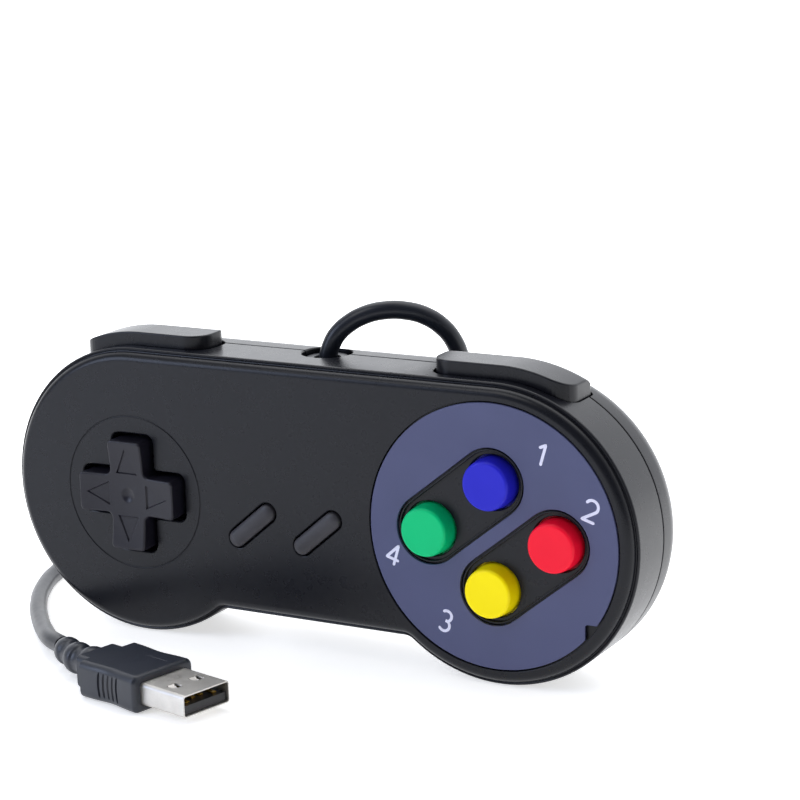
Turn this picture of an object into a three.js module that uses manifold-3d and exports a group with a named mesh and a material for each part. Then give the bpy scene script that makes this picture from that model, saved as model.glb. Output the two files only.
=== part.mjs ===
// A wired gamepad: a case in two halves, a four-way pad, four face buttons, two menu buttons,
// two hinged shoulder buttons, its board and switches, and a cord that ends in a USB-A plug.
//
// Millimetres. +X is to the right, +Y to the back and +Z up. The case stands on its two round
// lobes with its face towards -Y, and the origin is on the floor under the middle of the case.
// Depths are counted from the face plane towards the back, so what stands proud is negative.
// Heights called "rise" are counted from the level of the lobes' centres.

import * as THREE from "three";
import { mergeVertices } from "three/addons/utils/BufferGeometryUtils.js";
import Module from "manifold-3d";

// ---------------------------------------------------------------- driving dimensions

const LOBE_RADIUS = 30.4;
const LOBE_X = 41.6;
const LOBE_Z = LOBE_RADIUS;
const BRIDGE_RISE = -23.2; // underside of the bridge between the lobes
const CASE_DEPTH = 23.5;
const PROUD = 2.7; // depth left for the controls in front of the face, so that the part is centred
const PARTING_DEPTH = 13.2;
const LIP_END = PARTING_DEPTH + 1.5; // the front half's lip stands this deep into the back half
const WALL = 2.2;
const FRONT_EDGE = 2.2; // rounding of the case's edges
const BACK_EDGE = 7;
const GAP = 0.3;
const FACE_Y = -(CASE_DEPTH - PROUD) / 2;
const INNER_BACK = CASE_DEPTH - WALL;

const PLATE_RADIUS = 26.74;
const PLATE_THICKNESS = 0.6;
const POCKET_DEPTH = PLATE_THICKNESS + GAP;
const CAPSULE_RADIUS = 7.1;
const ISLAND_DEPTH = 0.5;
const BUTTON_RADIUS = 5.2;
const BUTTON_HOLE = 5.6;
const BUTTON_REACH_X = 13.75; // from the plate's centre to the side buttons
const BUTTON_REACH_Z = 10.8; // and to the upper and lower ones
const FLANGE_RADIUS = 6.2;
const KEY_REACH = 6.9;
const KEY_WIDTH = 2;
const COLLAR_RADIUS = 8;
const COLLAR_END = 5.4;
const CONTROL_TOP = -2.6;
const PAD_TOP = -3.3;

const PAD_REACH = 11.6;
const PAD_HALF_WIDTH = 4.1;
const PAD_CLEARANCE = 0.9;
const PAD_FLANGE_RADIUS = 13;
const PIVOT_RADIUS = 1.8;
const PIVOT_DEPTH = 7.9;

const MENU_LENGTH = 13.5;
const MENU_WIDTH = 4.2;
const MENU_ANGLE = 40;
const MENU_PLACES = { select: [-12.9, -3.9], start: [2.4, -3.8] };

const BOARD_FRONT = 10;
const BOARD_BACK = 11.6;
const BOARD_RADIUS = 24;
const BOARD_TOP_RISE = 16;
const SHEET_FRONT = 8.7; // rubber membranes lie between this depth and the board
const SHEET_BACK = BOARD_FRONT - GAP;
const DOME_FRONT = 6.9; // domes at the height they have when pressed flat
const DOME_RADIUS = 4.2;

const SHOULDER_STEP = 2.8; // height of a shoulder button above the case
const SHOULDER_SKIRT = 3.5; // how far its sides reach below the case's surface
const SHOULDER_INNER = 26.3;
const SHOULDER_OUTER = 56.3;
const SHOULDER_FRONT = 4.5;
const SHOULDER_BACK = 15;
const SHOULDER_FRONT_CORNER = 4.4;
const SHOULDER_BACK_CORNER = 3.6;
const SLOT_CLEARANCE = 0.4;
const SLOT_INNER_CLEARANCE = 0.9;
const HINGE_X = 51;
const HINGE_RISE = 21;
const PIN_RADIUS = 1.05;
const PIN_HOLE = 1.25;
const SHOULDER_BOARD_RISE = 18.4;

const SCREW_PLACES = [
  [-60.8, -13.5],
  [60.8, -13.5],
  [-15.5, 15],
  [15.5, 15],
  [0, -15.5],
];
const BOSS_RADIUS = 3.2;
const BOSS_SEAT_RADIUS = 4.5;
const SCREW_RADIUS = 1.3;
const SCREW_HOLE = 1.6;
const HEAD_RADIUS = 2.5;
const HEAD_SEAT = 17; // depth of the screws' seats, deep in their wells

const CORD_RADIUS = 1.9;
const CORD_X = -1.6; // where the cord leaves the case, a little left of the middle
const CORD_HOLE = 5.2;
const GROMMET_TOP = 29.5;
const GROMMET_FLANGE = 6.1;

const COIL_X = -8;
const COIL_Y = 47;
const COIL_RADIUS = 21.5; // at the middle of its turns
const COIL_WIDTH = 12;
const COIL_HEIGHT = 12.4;
const TIE_WIDTH = 4;
const TIE_THICKNESS = 0.8;
const TIE_INSIDE = 11.7;
const TIE_ANGLE = 200;

const PLUG_MOUTH = [-0.4, -48.7];
const PLUG_TURN = -13.9; // the plug points this far round from +X, in degrees
const PLUG_Z = 3.8;
const SHELL_WIDTH = 12;
const SHELL_HEIGHT = 4.5;
const SHELL_LENGTH = 12;
const SHELL_WALL = 0.35;
const GRIP_WIDTH = 15.6;
const GRIP_HEIGHT = 7.6;
const GRIP_LENGTH = 16.5;
const POCKET_LENGTH = 3;

// The cord's route from the case to the coil, and from the coil to the plug.
const LEAD_ROUTE = [
  [-1.2, 2.8, 60.7],
  [-0.5, 3, 62.7],
  [0.6, 3.4, 64.6],
  [2.7, 4.4, 66.7],
  [5.6, 5.8, 68.4],
  [9.2, 7.6, 69.3],
  [13, 9.8, 69.1],
  [16.4, 12, 67.8],
  [19, 14, 65.4],
  [20.6, 15.7, 62.3],
  [21.3, 17.1, 58.5],
  [21.5, 18, 54],
  [21.4, 18.3, 48],
  [21.2, 18.4, 42],
  [20.9, 18.6, 36],
  [20.4, 19.5, 30],
  [19.4, 21.7, 24.5],
  [17.6, 26, 19.3],
  [15.8, 31, 16],
  [14.3, 36.4, 14.75],
];
const TAIL_ROUTE = [
  [-24.5, 72.2, 1.95],
  [-32, 71.6, 1.95],
  [-44, 69, 1.95],
  [-56, 63.4, 1.95],
  [-66.6, 54.6, 1.95],
  [-74.6, 43.4, 1.95],
  [-79.4, 31.6, 1.95],
  [-80.9, 20.6, 1.95],
  [-79.3, 10.6, 1.95],
  [-75.2, 0.6, 1.95],
  [-69.2, -9.2, 1.98],
  [-62.2, -18, 2.1],
  [-55.6, -25.2, 2.6],
  [-50.2, -30.4, 3.3],
  [-45.3, -33.6, 3.78],
];

// ---------------------------------------------------------------- materials

function finish(color, roughness, metalness = 0) {
  return new THREE.MeshStandardMaterial({ color, roughness, metalness });
}

const MATERIALS = {
  caseBlack: finish(0x26262b, 0.42),
  plate: finish(0x5a5d7d, 0.5),
  controlBlack: finish(0x222226, 0.5),
  green: finish(0x19c281, 0.4),
  blue: finish(0x3737c2, 0.4),
  red: finish(0xf32d48, 0.4),
  yellow: finish(0xffec02, 0.4),
  pillRubber: finish(0x333338, 0.7),
  membrane: finish(0x8c8f94, 0.8),
  board: finish(0x1d5b38, 0.5),
  chip: finish(0x17171a, 0.45),
  whitePlastic: finish(0xdedbd0, 0.5),
  ribbon: finish(0xc9c6bb, 0.6),
  steel: finish(0xc5c4bf, 0.3, 1),
  gold: finish(0xd9b24a, 0.3, 1),
  cordBlack: finish(0x2b2d33, 0.5),
  plugPlastic: finish(0x31343d, 0.5),
  tongue: finish(0x2a2a2c, 0.6),
};

// ---------------------------------------------------------------- flat outlines, in X and rise

function radians(degrees) {
  return (degrees * Math.PI) / 180;
}

function arc(x, z, radius, from, to, steps) {
  return Array.from({ length: steps + 1 }, (_, i) => {
    const angle = radians(from + ((to - from) * i) / steps);
    return new THREE.Vector2(x + radius * Math.cos(angle), z + radius * Math.sin(angle));
  });
}

function outline(...stretches) {
  const points = stretches.flat();
  return new THREE.Shape(
    points.filter((point, i) => point.distanceTo(points[(i + 1) % points.length]) > 0.001),
  );
}

function circle(x, z, radius, steps = 20) {
  return outline(arc(x, z, radius, 0, 360, steps));
}

function rectangle(left, bottom, right, top, corner = 0, steps = 3) {
  if (corner === 0) {
    return outline([
      new THREE.Vector2(left, bottom),
      new THREE.Vector2(right, bottom),
      new THREE.Vector2(right, top),
      new THREE.Vector2(left, top),
    ]);
  }
  return outline(
    arc(left + corner, bottom + corner, corner, 180, 270, steps),
    arc(right - corner, bottom + corner, corner, 270, 360, steps),
    arc(right - corner, top - corner, corner, 0, 90, steps),
    arc(left + corner, top - corner, corner, 90, 180, steps),
  );
}

function capsule(ax, az, bx, bz, radius, steps = 8) {
  const along = THREE.MathUtils.radToDeg(Math.atan2(bz - az, bx - ax));
  return outline(
    arc(bx, bz, radius, along - 90, along + 90, steps),
    arc(ax, az, radius, along + 90, along + 270, steps),
  );
}

function cross(x, reach, half, corner) {
  const stretches = [0, 90, 180, 270].map((turn) => {
    const arm = [
      ...arc(reach - corner, half - corner, corner, 0, 90, 2),
      new THREE.Vector2(half, half),
    ];
    const start = arc(reach - corner, corner - half, corner, -90, 0, 2);
    const middle = new THREE.Vector2();
    return [...start, ...arm].map((point) => point.rotateAround(middle, radians(turn)));
  });
  return outline(stretches.flat().map((point) => point.add(new THREE.Vector2(x, 0))));
}

// Both lobes and the bridge between them, moved inwards by `inset`.
function caseOutline(inset) {
  const radius = LOBE_RADIUS - inset;
  const underside = BRIDGE_RISE + inset;
  const corner = THREE.MathUtils.radToDeg(Math.acos(-underside / radius));
  return outline(
    arc(LOBE_X, 0, radius, 90, 0, 8),
    arc(LOBE_X, 0, radius, 0, -90, 8),
    arc(LOBE_X, 0, radius, -90, -90 - corner, 4),
    arc(-LOBE_X, 0, radius, -90 + corner, -90, 4),
    arc(-LOBE_X, 0, radius, -90, -180, 8),
    arc(-LOBE_X, 0, radius, 180, 90, 8),
  );
}

// ---------------------------------------------------------------- solids

const wasm = await Module();
wasm.setup();

function solidOf(geometry) {
  const bare = geometry.clone();
  bare.deleteAttribute("normal");
  bare.deleteAttribute("uv");
  const merged = mergeVertices(bare, 0.0001);
  const vertProperties = new Float32Array(merged.attributes.position.array);
  const triVerts = new Uint32Array(merged.index.array);
  return new wasm.Manifold(new wasm.Mesh({ numProp: 3, vertProperties, triVerts }));
}

function geometryOf(solid) {
  const mesh = solid.getMesh();
  const geometry = new THREE.BufferGeometry();
  geometry.setAttribute("position", new THREE.BufferAttribute(mesh.vertProperties, 3));
  geometry.setIndex(new THREE.BufferAttribute(mesh.triVerts, 1));
  geometry.computeVertexNormals();
  return geometry;
}

function joined(first, ...others) {
  return others.reduce((whole, other) => whole.add(other), first);
}

function cut(first, ...others) {
  return others.reduce((whole, other) => whole.subtract(other), first);
}

// An outline in X and rise, carried from one depth to another.
function slab(shape, front, back) {
  const geometry = new THREE.ExtrudeGeometry(shape, { depth: back - front, bevelEnabled: false });
  geometry.rotateX(Math.PI / 2);
  geometry.translate(0, FACE_Y + back, LOBE_Z);
  return solidOf(geometry);
}

// The same with its front and back edges rounded.
function roundedSlab(shape, front, back, rounding, steps) {
  const geometry = new THREE.ExtrudeGeometry(shape, {
    depth: back - front - 2 * rounding,
    bevelThickness: rounding,
    bevelSize: rounding,
    bevelOffset: -rounding,
    bevelSegments: steps,
  });
  geometry.rotateX(Math.PI / 2);
  geometry.translate(0, FACE_Y + back - rounding, LOBE_Z);
  return solidOf(geometry);
}

// An outline in X and depth, carried from one rise to another.
function column(shape, bottom, top) {
  const geometry = new THREE.ExtrudeGeometry(shape, { depth: top - bottom, bevelEnabled: false });
  geometry.translate(0, FACE_Y, LOBE_Z + bottom);
  return solidOf(geometry);
}

function block(left, right, front, back, bottom, top) {
  return column(rectangle(left, front, right, back), bottom, top);
}

// A turned piece whose axis runs along the depth. Its profile is [radius, depth] pairs, front to back.
function turned(x, rise, profile, steps = 20) {
  const points = profile.map(([radius, depth]) => new THREE.Vector2(radius, depth));
  const geometry = new THREE.LatheGeometry(points, steps);
  geometry.translate(x, FACE_Y, LOBE_Z + rise);
  return solidOf(geometry);
}

const gamepad = new THREE.Group();
gamepad.name = "gamepad";

function place(name, solid, material, parent = gamepad) {
  const mesh = new THREE.Mesh(geometryOf(solid), material);
  mesh.name = name;
  parent.add(mesh);
}

// ---------------------------------------------------------------- places of the controls

const FACE_BUTTONS = [
  { name: "green_button", x: LOBE_X - BUTTON_REACH_X, rise: 0, material: MATERIALS.green, key: 20 },
  { name: "blue_button", x: LOBE_X, rise: BUTTON_REACH_Z, material: MATERIALS.blue, key: 70 },
  { name: "red_button", x: LOBE_X + BUTTON_REACH_X, rise: 0, material: MATERIALS.red, key: 110 },
  { name: "yellow_button", x: LOBE_X, rise: -BUTTON_REACH_Z, material: MATERIALS.yellow, key: 160 },
];
const [GREEN, BLUE, RED, YELLOW] = FACE_BUTTONS;

function buttonPair(radius) {
  return [
    capsule(GREEN.x, GREEN.rise, BLUE.x, BLUE.rise, radius),
    capsule(YELLOW.x, YELLOW.rise, RED.x, RED.rise, radius),
  ];
}

function pill([x, rise], grow) {
  const half = (MENU_LENGTH - MENU_WIDTH) / 2;
  const dx = half * Math.cos(radians(MENU_ANGLE));
  const dz = half * Math.sin(radians(MENU_ANGLE));
  return capsule(x - dx, rise - dz, x + dx, rise + dz, MENU_WIDTH / 2 + grow, 6);
}

// ---------------------------------------------------------------- the case

// A shoulder button's outline from above, in X and depth, grown by its clearances.
function shoulderPlan(grow, innerGrow) {
  const front = SHOULDER_FRONT + SHOULDER_FRONT_CORNER;
  const frontRadius = SHOULDER_FRONT_CORNER + grow;
  const backRadius = SHOULDER_BACK_CORNER + grow;
  const left = SHOULDER_INNER - innerGrow;
  return outline(
    arc(SHOULDER_OUTER - SHOULDER_FRONT_CORNER, front, frontRadius, -90, 0, 5),
    [new THREE.Vector2(SHOULDER_OUTER + grow, SHOULDER_BACK + grow)],
    arc(left + backRadius, SHOULDER_BACK - SHOULDER_BACK_CORNER, backRadius, 90, 180, 4),
    arc(left + frontRadius, front, frontRadius, 180, 270, 5),
  );
}

function shoulderSlot(side) {
  const shape = shoulderPlan(SLOT_CLEARANCE, SLOT_INNER_CLEARANCE);
  const slot = column(shape, HINGE_RISE + 2.7, LOBE_RADIUS + 5);
  return side > 0 ? slot : slot.mirror([1, 0, 0]);
}

function bothHalves() {
  const full = roundedSlab(caseOutline(0), 0, CASE_DEPTH + FRONT_EDGE, FRONT_EDGE, 3).intersect(
    roundedSlab(caseOutline(0), -BACK_EDGE, CASE_DEPTH, BACK_EDGE, 4),
  );
  const innerEdge = BACK_EDGE - WALL;
  const hollow = slab(caseOutline(WALL), WALL, INNER_BACK).intersect(
    roundedSlab(caseOutline(WALL), -innerEdge, INNER_BACK, innerEdge, 4),
  );
  const cordHole = column(circle(CORD_X, PARTING_DEPTH, CORD_HOLE), LOBE_RADIUS - 5, LOBE_RADIUS + 5);
  return cut(full, hollow, shoulderSlot(-1), shoulderSlot(1), cordHole);
}

function padHoles() {
  const pair = buttonPair(CAPSULE_RADIUS - GAP);
  const pocket = cut(
    slab(circle(LOBE_X, 0, PLATE_RADIUS + GAP, 40), -1, POCKET_DEPTH),
    ...pair.map((shape) => slab(shape, ISLAND_DEPTH, WALL)),
  );
  return [
    pocket,
    slab(cross(-LOBE_X, PAD_REACH + PAD_CLEARANCE, PAD_HALF_WIDTH + PAD_CLEARANCE, 1.2), -1, WALL + 1),
    ...FACE_BUTTONS.map(({ x, rise }) => slab(circle(x, rise, BUTTON_HOLE), -1, WALL + 1)),
    ...Object.values(MENU_PLACES).map((spot) => slab(pill(spot, 0), -1, WALL + 1)),
  ];
}

function buttonCollar({ x, rise, key }) {
  const start = WALL - 0.2;
  const ring = cut(
    slab(circle(x, rise, COLLAR_RADIUS), start, COLLAR_END),
    slab(circle(x, rise, FLANGE_RADIUS + 0.3), WALL, COLLAR_END + 1),
    slab(circle(x, rise, BUTTON_HOLE), 0, WALL + 1),
  );
  return cut(ring, keyBar(x, rise, key, COLLAR_RADIUS + 1, KEY_WIDTH + 0.8, WALL, COLLAR_END + 1));
}

// A bar across a round piece's middle, which makes its two keys or their slots.
function keyBar(x, rise, turn, reach, width, front, back) {
  const dx = reach * Math.cos(radians(turn));
  const dz = reach * Math.sin(radians(turn));
  const sx = (width / 2) * Math.sin(radians(turn));
  const sz = (-width / 2) * Math.cos(radians(turn));
  const shape = outline([
    new THREE.Vector2(x - dx + sx, rise - dz + sz),
    new THREE.Vector2(x + dx + sx, rise + dz + sz),
    new THREE.Vector2(x + dx - sx, rise + dz - sz),
    new THREE.Vector2(x - dx - sx, rise - dz - sz),
  ]);
  return slab(shape, front, back);
}

function padCollar() {
  return cut(
    slab(circle(-LOBE_X, 0, PAD_FLANGE_RADIUS + 3, 32), WALL - 0.2, COLLAR_END),
    slab(circle(-LOBE_X, 0, PAD_FLANGE_RADIUS + 2, 32), 0, COLLAR_END + 1),
  );
}

function menuCollar(spot) {
  return cut(
    slab(pill(spot, 2.2), WALL - 0.2, COLLAR_END),
    slab(pill(spot, 1.4), WALL, COLLAR_END + 1),
    slab(pill(spot, 0), 0, WALL + 1),
  );
}

function frontBoss([x, rise]) {
  return cut(
    joined(
      slab(circle(x, rise, BOSS_SEAT_RADIUS, 16), WALL - 0.2, BOARD_FRONT - GAP),
      slab(circle(x, rise, BOSS_RADIUS, 16), WALL, LIP_END),
    ),
    slab(circle(x, rise, SCREW_HOLE, 12), 5, LIP_END + 1),
  );
}

function hingeBoss(side, front, back, holeFront, holeBack) {
  return cut(
    slab(circle(side * HINGE_X, HINGE_RISE, 2.6, 16), front, back),
    slab(circle(side * HINGE_X, HINGE_RISE, PIN_HOLE, 16), holeFront, holeBack),
  );
}

// Two ribs with a slot between them, which hold one edge of a shoulder button's board.
function boardRibs(side, front, back) {
  const left = Math.min(side * 23, side * 35);
  const right = Math.max(side * 23, side * 35);
  return [
    block(left, right, front, back, SHOULDER_BOARD_RISE - 1.3, SHOULDER_BOARD_RISE - GAP),
    block(left, right, front, back, SHOULDER_BOARD_RISE + 1.9, SHOULDER_BOARD_RISE + 2.9),
  ];
}

// The front half carries a lip that stands into the back half all round.
function lip() {
  const ring = cut(
    joined(
      slab(caseOutline(WALL - 0.2), 10, PARTING_DEPTH - 0.6),
      slab(caseOutline(WALL + GAP), 10, LIP_END),
    ),
    slab(caseOutline(WALL + 1.2), 9, LIP_END + 1),
  );
  const gaps = [[CORD_X - 8, CORD_X + 8], [-58, -22], [22, 58]].map(([left, right]) =>
    block(left, right, 9, LIP_END + 1, HINGE_RISE, LOBE_RADIUS),
  );
  return cut(ring, ...gaps);
}

function frontShell(halves) {
  const keep = block(-90, 90, -1, PARTING_DEPTH - GAP / 2, -40, 40);
  const walls = cut(halves.intersect(keep), ...padHoles());
  const ribs = [-1, 1].flatMap((side) => [
    hingeBoss(side, WALL - 0.2, 6.2, 3.5, 7),
    ...boardRibs(side, WALL - 0.2, 5.5),
  ]);
  return joined(
    walls,
    lip(),
    padCollar(),
    ...FACE_BUTTONS.map(buttonCollar),
    ...Object.values(MENU_PLACES).map(menuCollar),
    ...SCREW_PLACES.map(frontBoss),
    ...ribs,
  );
}

function backShell(halves) {
  const keep = block(-90, 90, PARTING_DEPTH + GAP / 2, CASE_DEPTH + 1, -40, 40);
  const bosses = SCREW_PLACES.map(([x, rise]) =>
    slab(circle(x, rise, 4.4, 16), LIP_END + GAP, INNER_BACK + 0.2),
  );
  const ribs = [-1, 1].flatMap((side) => [
    hingeBoss(side, 14.8, INNER_BACK + 0.2, 14, 19.3),
    ...boardRibs(side, 15, INNER_BACK + 0.2),
  ]);
  const wells = SCREW_PLACES.flatMap(([x, rise]) => [
    slab(circle(x, rise, HEAD_RADIUS + 0.5, 16), HEAD_SEAT, CASE_DEPTH + 1),
    slab(circle(x, rise, SCREW_HOLE, 12), PARTING_DEPTH, CASE_DEPTH),
  ]);
  return cut(joined(halves.intersect(keep), ...bosses, ...ribs), ...wells);
}

function caseScrew([x, rise]) {
  return turned(
    x,
    rise,
    [
      [0, 6.5],
      [SCREW_RADIUS, 7.5],
      [SCREW_RADIUS, HEAD_SEAT + GAP],
      [HEAD_RADIUS, HEAD_SEAT + GAP],
      [HEAD_RADIUS, HEAD_SEAT + 1.5],
      [HEAD_RADIUS - 0.7, HEAD_SEAT + 2.1],
      [0, HEAD_SEAT + 2.1],
    ],
    12,
  );
}

function makeCase() {
  const halves = bothHalves();
  place("front_shell", frontShell(halves), MATERIALS.caseBlack);
  place("back_shell", backShell(halves), MATERIALS.caseBlack);
  SCREW_PLACES.forEach((spot, i) => {
    place(`case_screw_${i + 1}`, caseScrew(spot), MATERIALS.steel);
  });
}

// ---------------------------------------------------------------- the face's controls

function makePlate() {
  const notch = block(LOBE_X + 19.6, LOBE_X + 21.6, -1, 2, -18.4, -15);
  const plate = cut(
    slab(circle(LOBE_X, 0, PLATE_RADIUS, 40), 0, PLATE_THICKNESS),
    ...buttonPair(CAPSULE_RADIUS).map((shape) => slab(shape, -1, 2)),
    notch,
  );
  place("button_plate", plate, MATERIALS.plate);
}

function faceButton({ x, rise, key }) {
  const body = turned(x, rise, [
    [0, CONTROL_TOP],
    [BUTTON_RADIUS - 1.1, CONTROL_TOP],
    [BUTTON_RADIUS - 0.35, CONTROL_TOP + 0.35],
    [BUTTON_RADIUS, CONTROL_TOP + 1.1],
    [BUTTON_RADIUS, 2.5],
    [FLANGE_RADIUS, 2.5],
    [FLANGE_RADIUS, 3.7],
    [DOME_RADIUS, 3.7],
    [DOME_RADIUS, 5.2],
    [DOME_RADIUS - 1.2, 5.2],
    [DOME_RADIUS - 1.2, 0.2],
    [0, 0.2],
  ]);
  const keys = cut(
    keyBar(x, rise, key, KEY_REACH, KEY_WIDTH, 2.6, 3.6),
    slab(circle(x, rise, DOME_RADIUS), 2, 4),
  );
  return joined(body, keys);
}

function dome(x, rise, radius) {
  const wall = 0.8;
  return turned(
    x,
    rise,
    [
      [0, DOME_FRONT],
      [radius - 1, DOME_FRONT],
      [radius, SHEET_FRONT + 0.1],
      [radius, SHEET_FRONT + 0.3],
      [radius - wall, SHEET_BACK + 0.1],
      [radius - wall - 0.9, DOME_FRONT + wall],
      [0, DOME_FRONT + wall],
    ],
    12,
  );
}

// A sheet of rubber with a dome over each contact, open under its domes.
function membrane(sheet, domes, radius) {
  const openings = domes.map(([x, rise]) =>
    slab(circle(x, rise, radius - 0.6, 12), SHEET_FRONT - 0.2, SHEET_BACK + 1),
  );
  const flat = cut(slab(sheet, SHEET_FRONT, SHEET_BACK), ...openings);
  const caps = domes.map(([x, rise]) => dome(x, rise, radius));
  const below = slab(rectangle(-80, -40, 80, 40), SHEET_BACK, SHEET_BACK + 3);
  return cut(joined(flat, ...caps), below);
}

function makeFaceButtons() {
  for (const button of FACE_BUTTONS) {
    place(button.name, faceButton(button), button.material);
  }
  const domes = FACE_BUTTONS.map(({ x, rise }) => [x, rise]);
  const sheet = circle(LOBE_X, 0, 18.6, 32);
  place("face_button_membrane", membrane(sheet, domes, DOME_RADIUS), MATERIALS.membrane);
}

function makeMenuButtons() {
  for (const [name, spot] of Object.entries(MENU_PLACES)) {
    const button = joined(
      slab(pill(spot, -GAP), -1, 2.6),
      slab(pill(spot, 1), 2.5, 3.6),
      slab(pill(spot, -0.6), 3.5, 5.4),
    );
    place(`${name}_button`, button, MATERIALS.pillRubber);
  }
  const sheet = rectangle(-20.5, -10.6, 9.5, 3.4, 2);
  const domes = Object.values(MENU_PLACES);
  place("menu_membrane", membrane(sheet, domes, 3.4), MATERIALS.membrane);
}

function makePad() {
  const pad = joined(
    roundedSlab(cross(-LOBE_X, PAD_REACH, PAD_HALF_WIDTH, 0.9), PAD_TOP, 4.4, 0.7, 2),
    slab(circle(-LOBE_X, 0, PAD_FLANGE_RADIUS, 32), 4, 5.2),
    slab(circle(-LOBE_X, 0, 2.5, 16), 5.1, 5.8),
  );
  const dish = turned(
    -LOBE_X,
    0,
    [
      [0, CONTROL_TOP - 1],
      [10, CONTROL_TOP - 1],
      [8.6, CONTROL_TOP + 0.3],
      [0, CONTROL_TOP + 0.7],
    ],
    32,
  );
  place("dpad", cut(pad, dish), MATERIALS.controlBlack);

  const ball = new THREE.SphereGeometry(PIVOT_RADIUS, 12, 8);
  ball.rotateX(Math.PI / 2);
  ball.translate(-LOBE_X, FACE_Y + PIVOT_DEPTH, LOBE_Z);
  place("dpad_pivot_ball", solidOf(ball), MATERIALS.steel);

  const domes = [0, 90, 180, 270].map((turn) => [
    -LOBE_X + 8.5 * Math.cos(radians(turn)),
    8.5 * Math.sin(radians(turn)),
  ]);
  const sheet = circle(-LOBE_X, 0, 13.5, 32);
  sheet.holes.push(circle(-LOBE_X, 0, PIVOT_RADIUS + 0.8, 16));
  place("dpad_membrane", membrane(sheet, domes, 3), MATERIALS.membrane);
}

// ---------------------------------------------------------------- the shoulder buttons

function shoulderCap(side) {
  const outer = LOBE_RADIUS + SHOULDER_STEP;
  const inner = LOBE_RADIUS - SHOULDER_SKIRT;
  const end = SHOULDER_OUTER - LOBE_X;
  const outerEnd = THREE.MathUtils.radToDeg(Math.acos(end / outer));
  const innerEnd = THREE.MathUtils.radToDeg(Math.acos(end / inner));
  const shape = outline(
    [new THREE.Vector2(SHOULDER_INNER, outer)],
    arc(LOBE_X, 0, outer, 90, outerEnd, 4),
    arc(LOBE_X, 0, inner, innerEnd, 90, 4),
    [new THREE.Vector2(SHOULDER_INNER, inner)],
  );
  const cap = roundedSlab(shape, SHOULDER_FRONT, SHOULDER_BACK, 0.8, 2).intersect(
    column(shoulderPlan(0, 0), inner - 10, outer + 1),
  );
  const lever = joined(
    cap,
    slab(circle(HINGE_X, HINGE_RISE, 2.8, 16), 6.6, 14.4),
    block(HINGE_X - 1.6, HINGE_X + 1.6, 6.6, 14.4, HINGE_RISE, 25.8),
    block(27.5, 31.5, 8, 13, 25, inner + 0.5),
    block(SHOULDER_INNER - 2.4, SHOULDER_INNER + 2, 8, 13, 25.6, LOBE_RADIUS - WALL - GAP),
  );
  const whole = cut(lever, slab(circle(HINGE_X, HINGE_RISE, PIN_HOLE, 16), 5, 16));
  return side > 0 ? whole : whole.mirror([1, 0, 0]);
}

function shoulderSwitch(side) {
  const x = side * 29.5;
  const base = SHOULDER_BOARD_RISE + 1.6 + 0.2;
  return joined(
    block(x - 3, x + 3, 7.5, 13.5, base, base + 2),
    column(circle(x, 10.5, 1.7, 12), base + 1.9, base + 3.1),
  );
}

// A flat lead that bends from the shoulder board's underside down to the main board's back.
function shoulderRibbon(side) {
  const path = [
    [14.6, SHOULDER_BOARD_RISE - GAP],
    [14.6, 16.6],
    [12, 14],
    [12, 10],
  ];
  const thick = 0.4;
  const front = path.map(([depth, rise]) => new THREE.Vector2(depth, rise));
  const back = path.toReversed().map(([depth, rise]) => new THREE.Vector2(depth + thick, rise));
  const geometry = new THREE.ExtrudeGeometry(outline(front, back), { depth: 5, bevelEnabled: false });
  const toRow = new THREE.Matrix4().makeBasis(
    new THREE.Vector3(0, 1, 0),
    new THREE.Vector3(0, 0, 1),
    new THREE.Vector3(1, 0, 0),
  );
  geometry.applyMatrix4(toRow);
  geometry.translate(side * 33.5 - 2.5, FACE_Y, LOBE_Z);
  return solidOf(geometry);
}

function makeShoulders() {
  for (const [name, side] of [["left", -1], ["right", 1]]) {
    place(`${name}_shoulder_button`, shoulderCap(side), MATERIALS.caseBlack);
    const pin = slab(circle(side * HINGE_X, HINGE_RISE, PIN_RADIUS, 16), 3.8, 19);
    place(`${name}_shoulder_pin`, pin, MATERIALS.steel);
    const board = block(
      Math.min(side * 24, side * 38),
      Math.max(side * 24, side * 38),
      3,
      18,
      SHOULDER_BOARD_RISE,
      SHOULDER_BOARD_RISE + 1.6,
    );
    place(`${name}_shoulder_board`, board, MATERIALS.board);
    place(`${name}_shoulder_switch`, shoulderSwitch(side), MATERIALS.chip);
    place(`${name}_shoulder_ribbon`, shoulderRibbon(side), MATERIALS.ribbon);
  }
}

// ---------------------------------------------------------------- the main board

function makeBoard() {
  const underside = -17;
  const topEnd = THREE.MathUtils.radToDeg(Math.asin(BOARD_TOP_RISE / BOARD_RADIUS));
  const corner = THREE.MathUtils.radToDeg(Math.acos(-underside / BOARD_RADIUS));
  const shape = outline(
    arc(LOBE_X, 0, BOARD_RADIUS, topEnd, -90 - corner, 16),
    arc(-LOBE_X, 0, BOARD_RADIUS, -90 + corner, -180 - topEnd, 16),
  );
  const holes = SCREW_PLACES.map(([x, rise]) =>
    slab(circle(x, rise, BOSS_RADIUS + 0.5, 16), BOARD_FRONT - 1, BOARD_BACK + 1),
  );
  place("main_board", cut(slab(shape, BOARD_FRONT, BOARD_BACK), ...holes), MATERIALS.board);

  const back = BOARD_BACK + 0.2;
  place("controller_chip", block(-16, -5, back, back + 2, -8, -1), MATERIALS.chip);
  place("clock_crystal", slab(capsule(4, -5, 10, -5, 2, 6), back, back + 3.5), MATERIALS.steel);
  const can = turned(20, -4, [[0, back], [2.8, back], [2.8, back + 6.6], [2.4, back + 7], [0, back + 7]], 16);
  place("filter_capacitor", can, MATERIALS.chip);
  place("cord_socket", block(CORD_X - 6.5, CORD_X + 6.5, back, back + 5, 7.5, 12.5), MATERIALS.whitePlastic);
}

// ---------------------------------------------------------------- the cord

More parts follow.
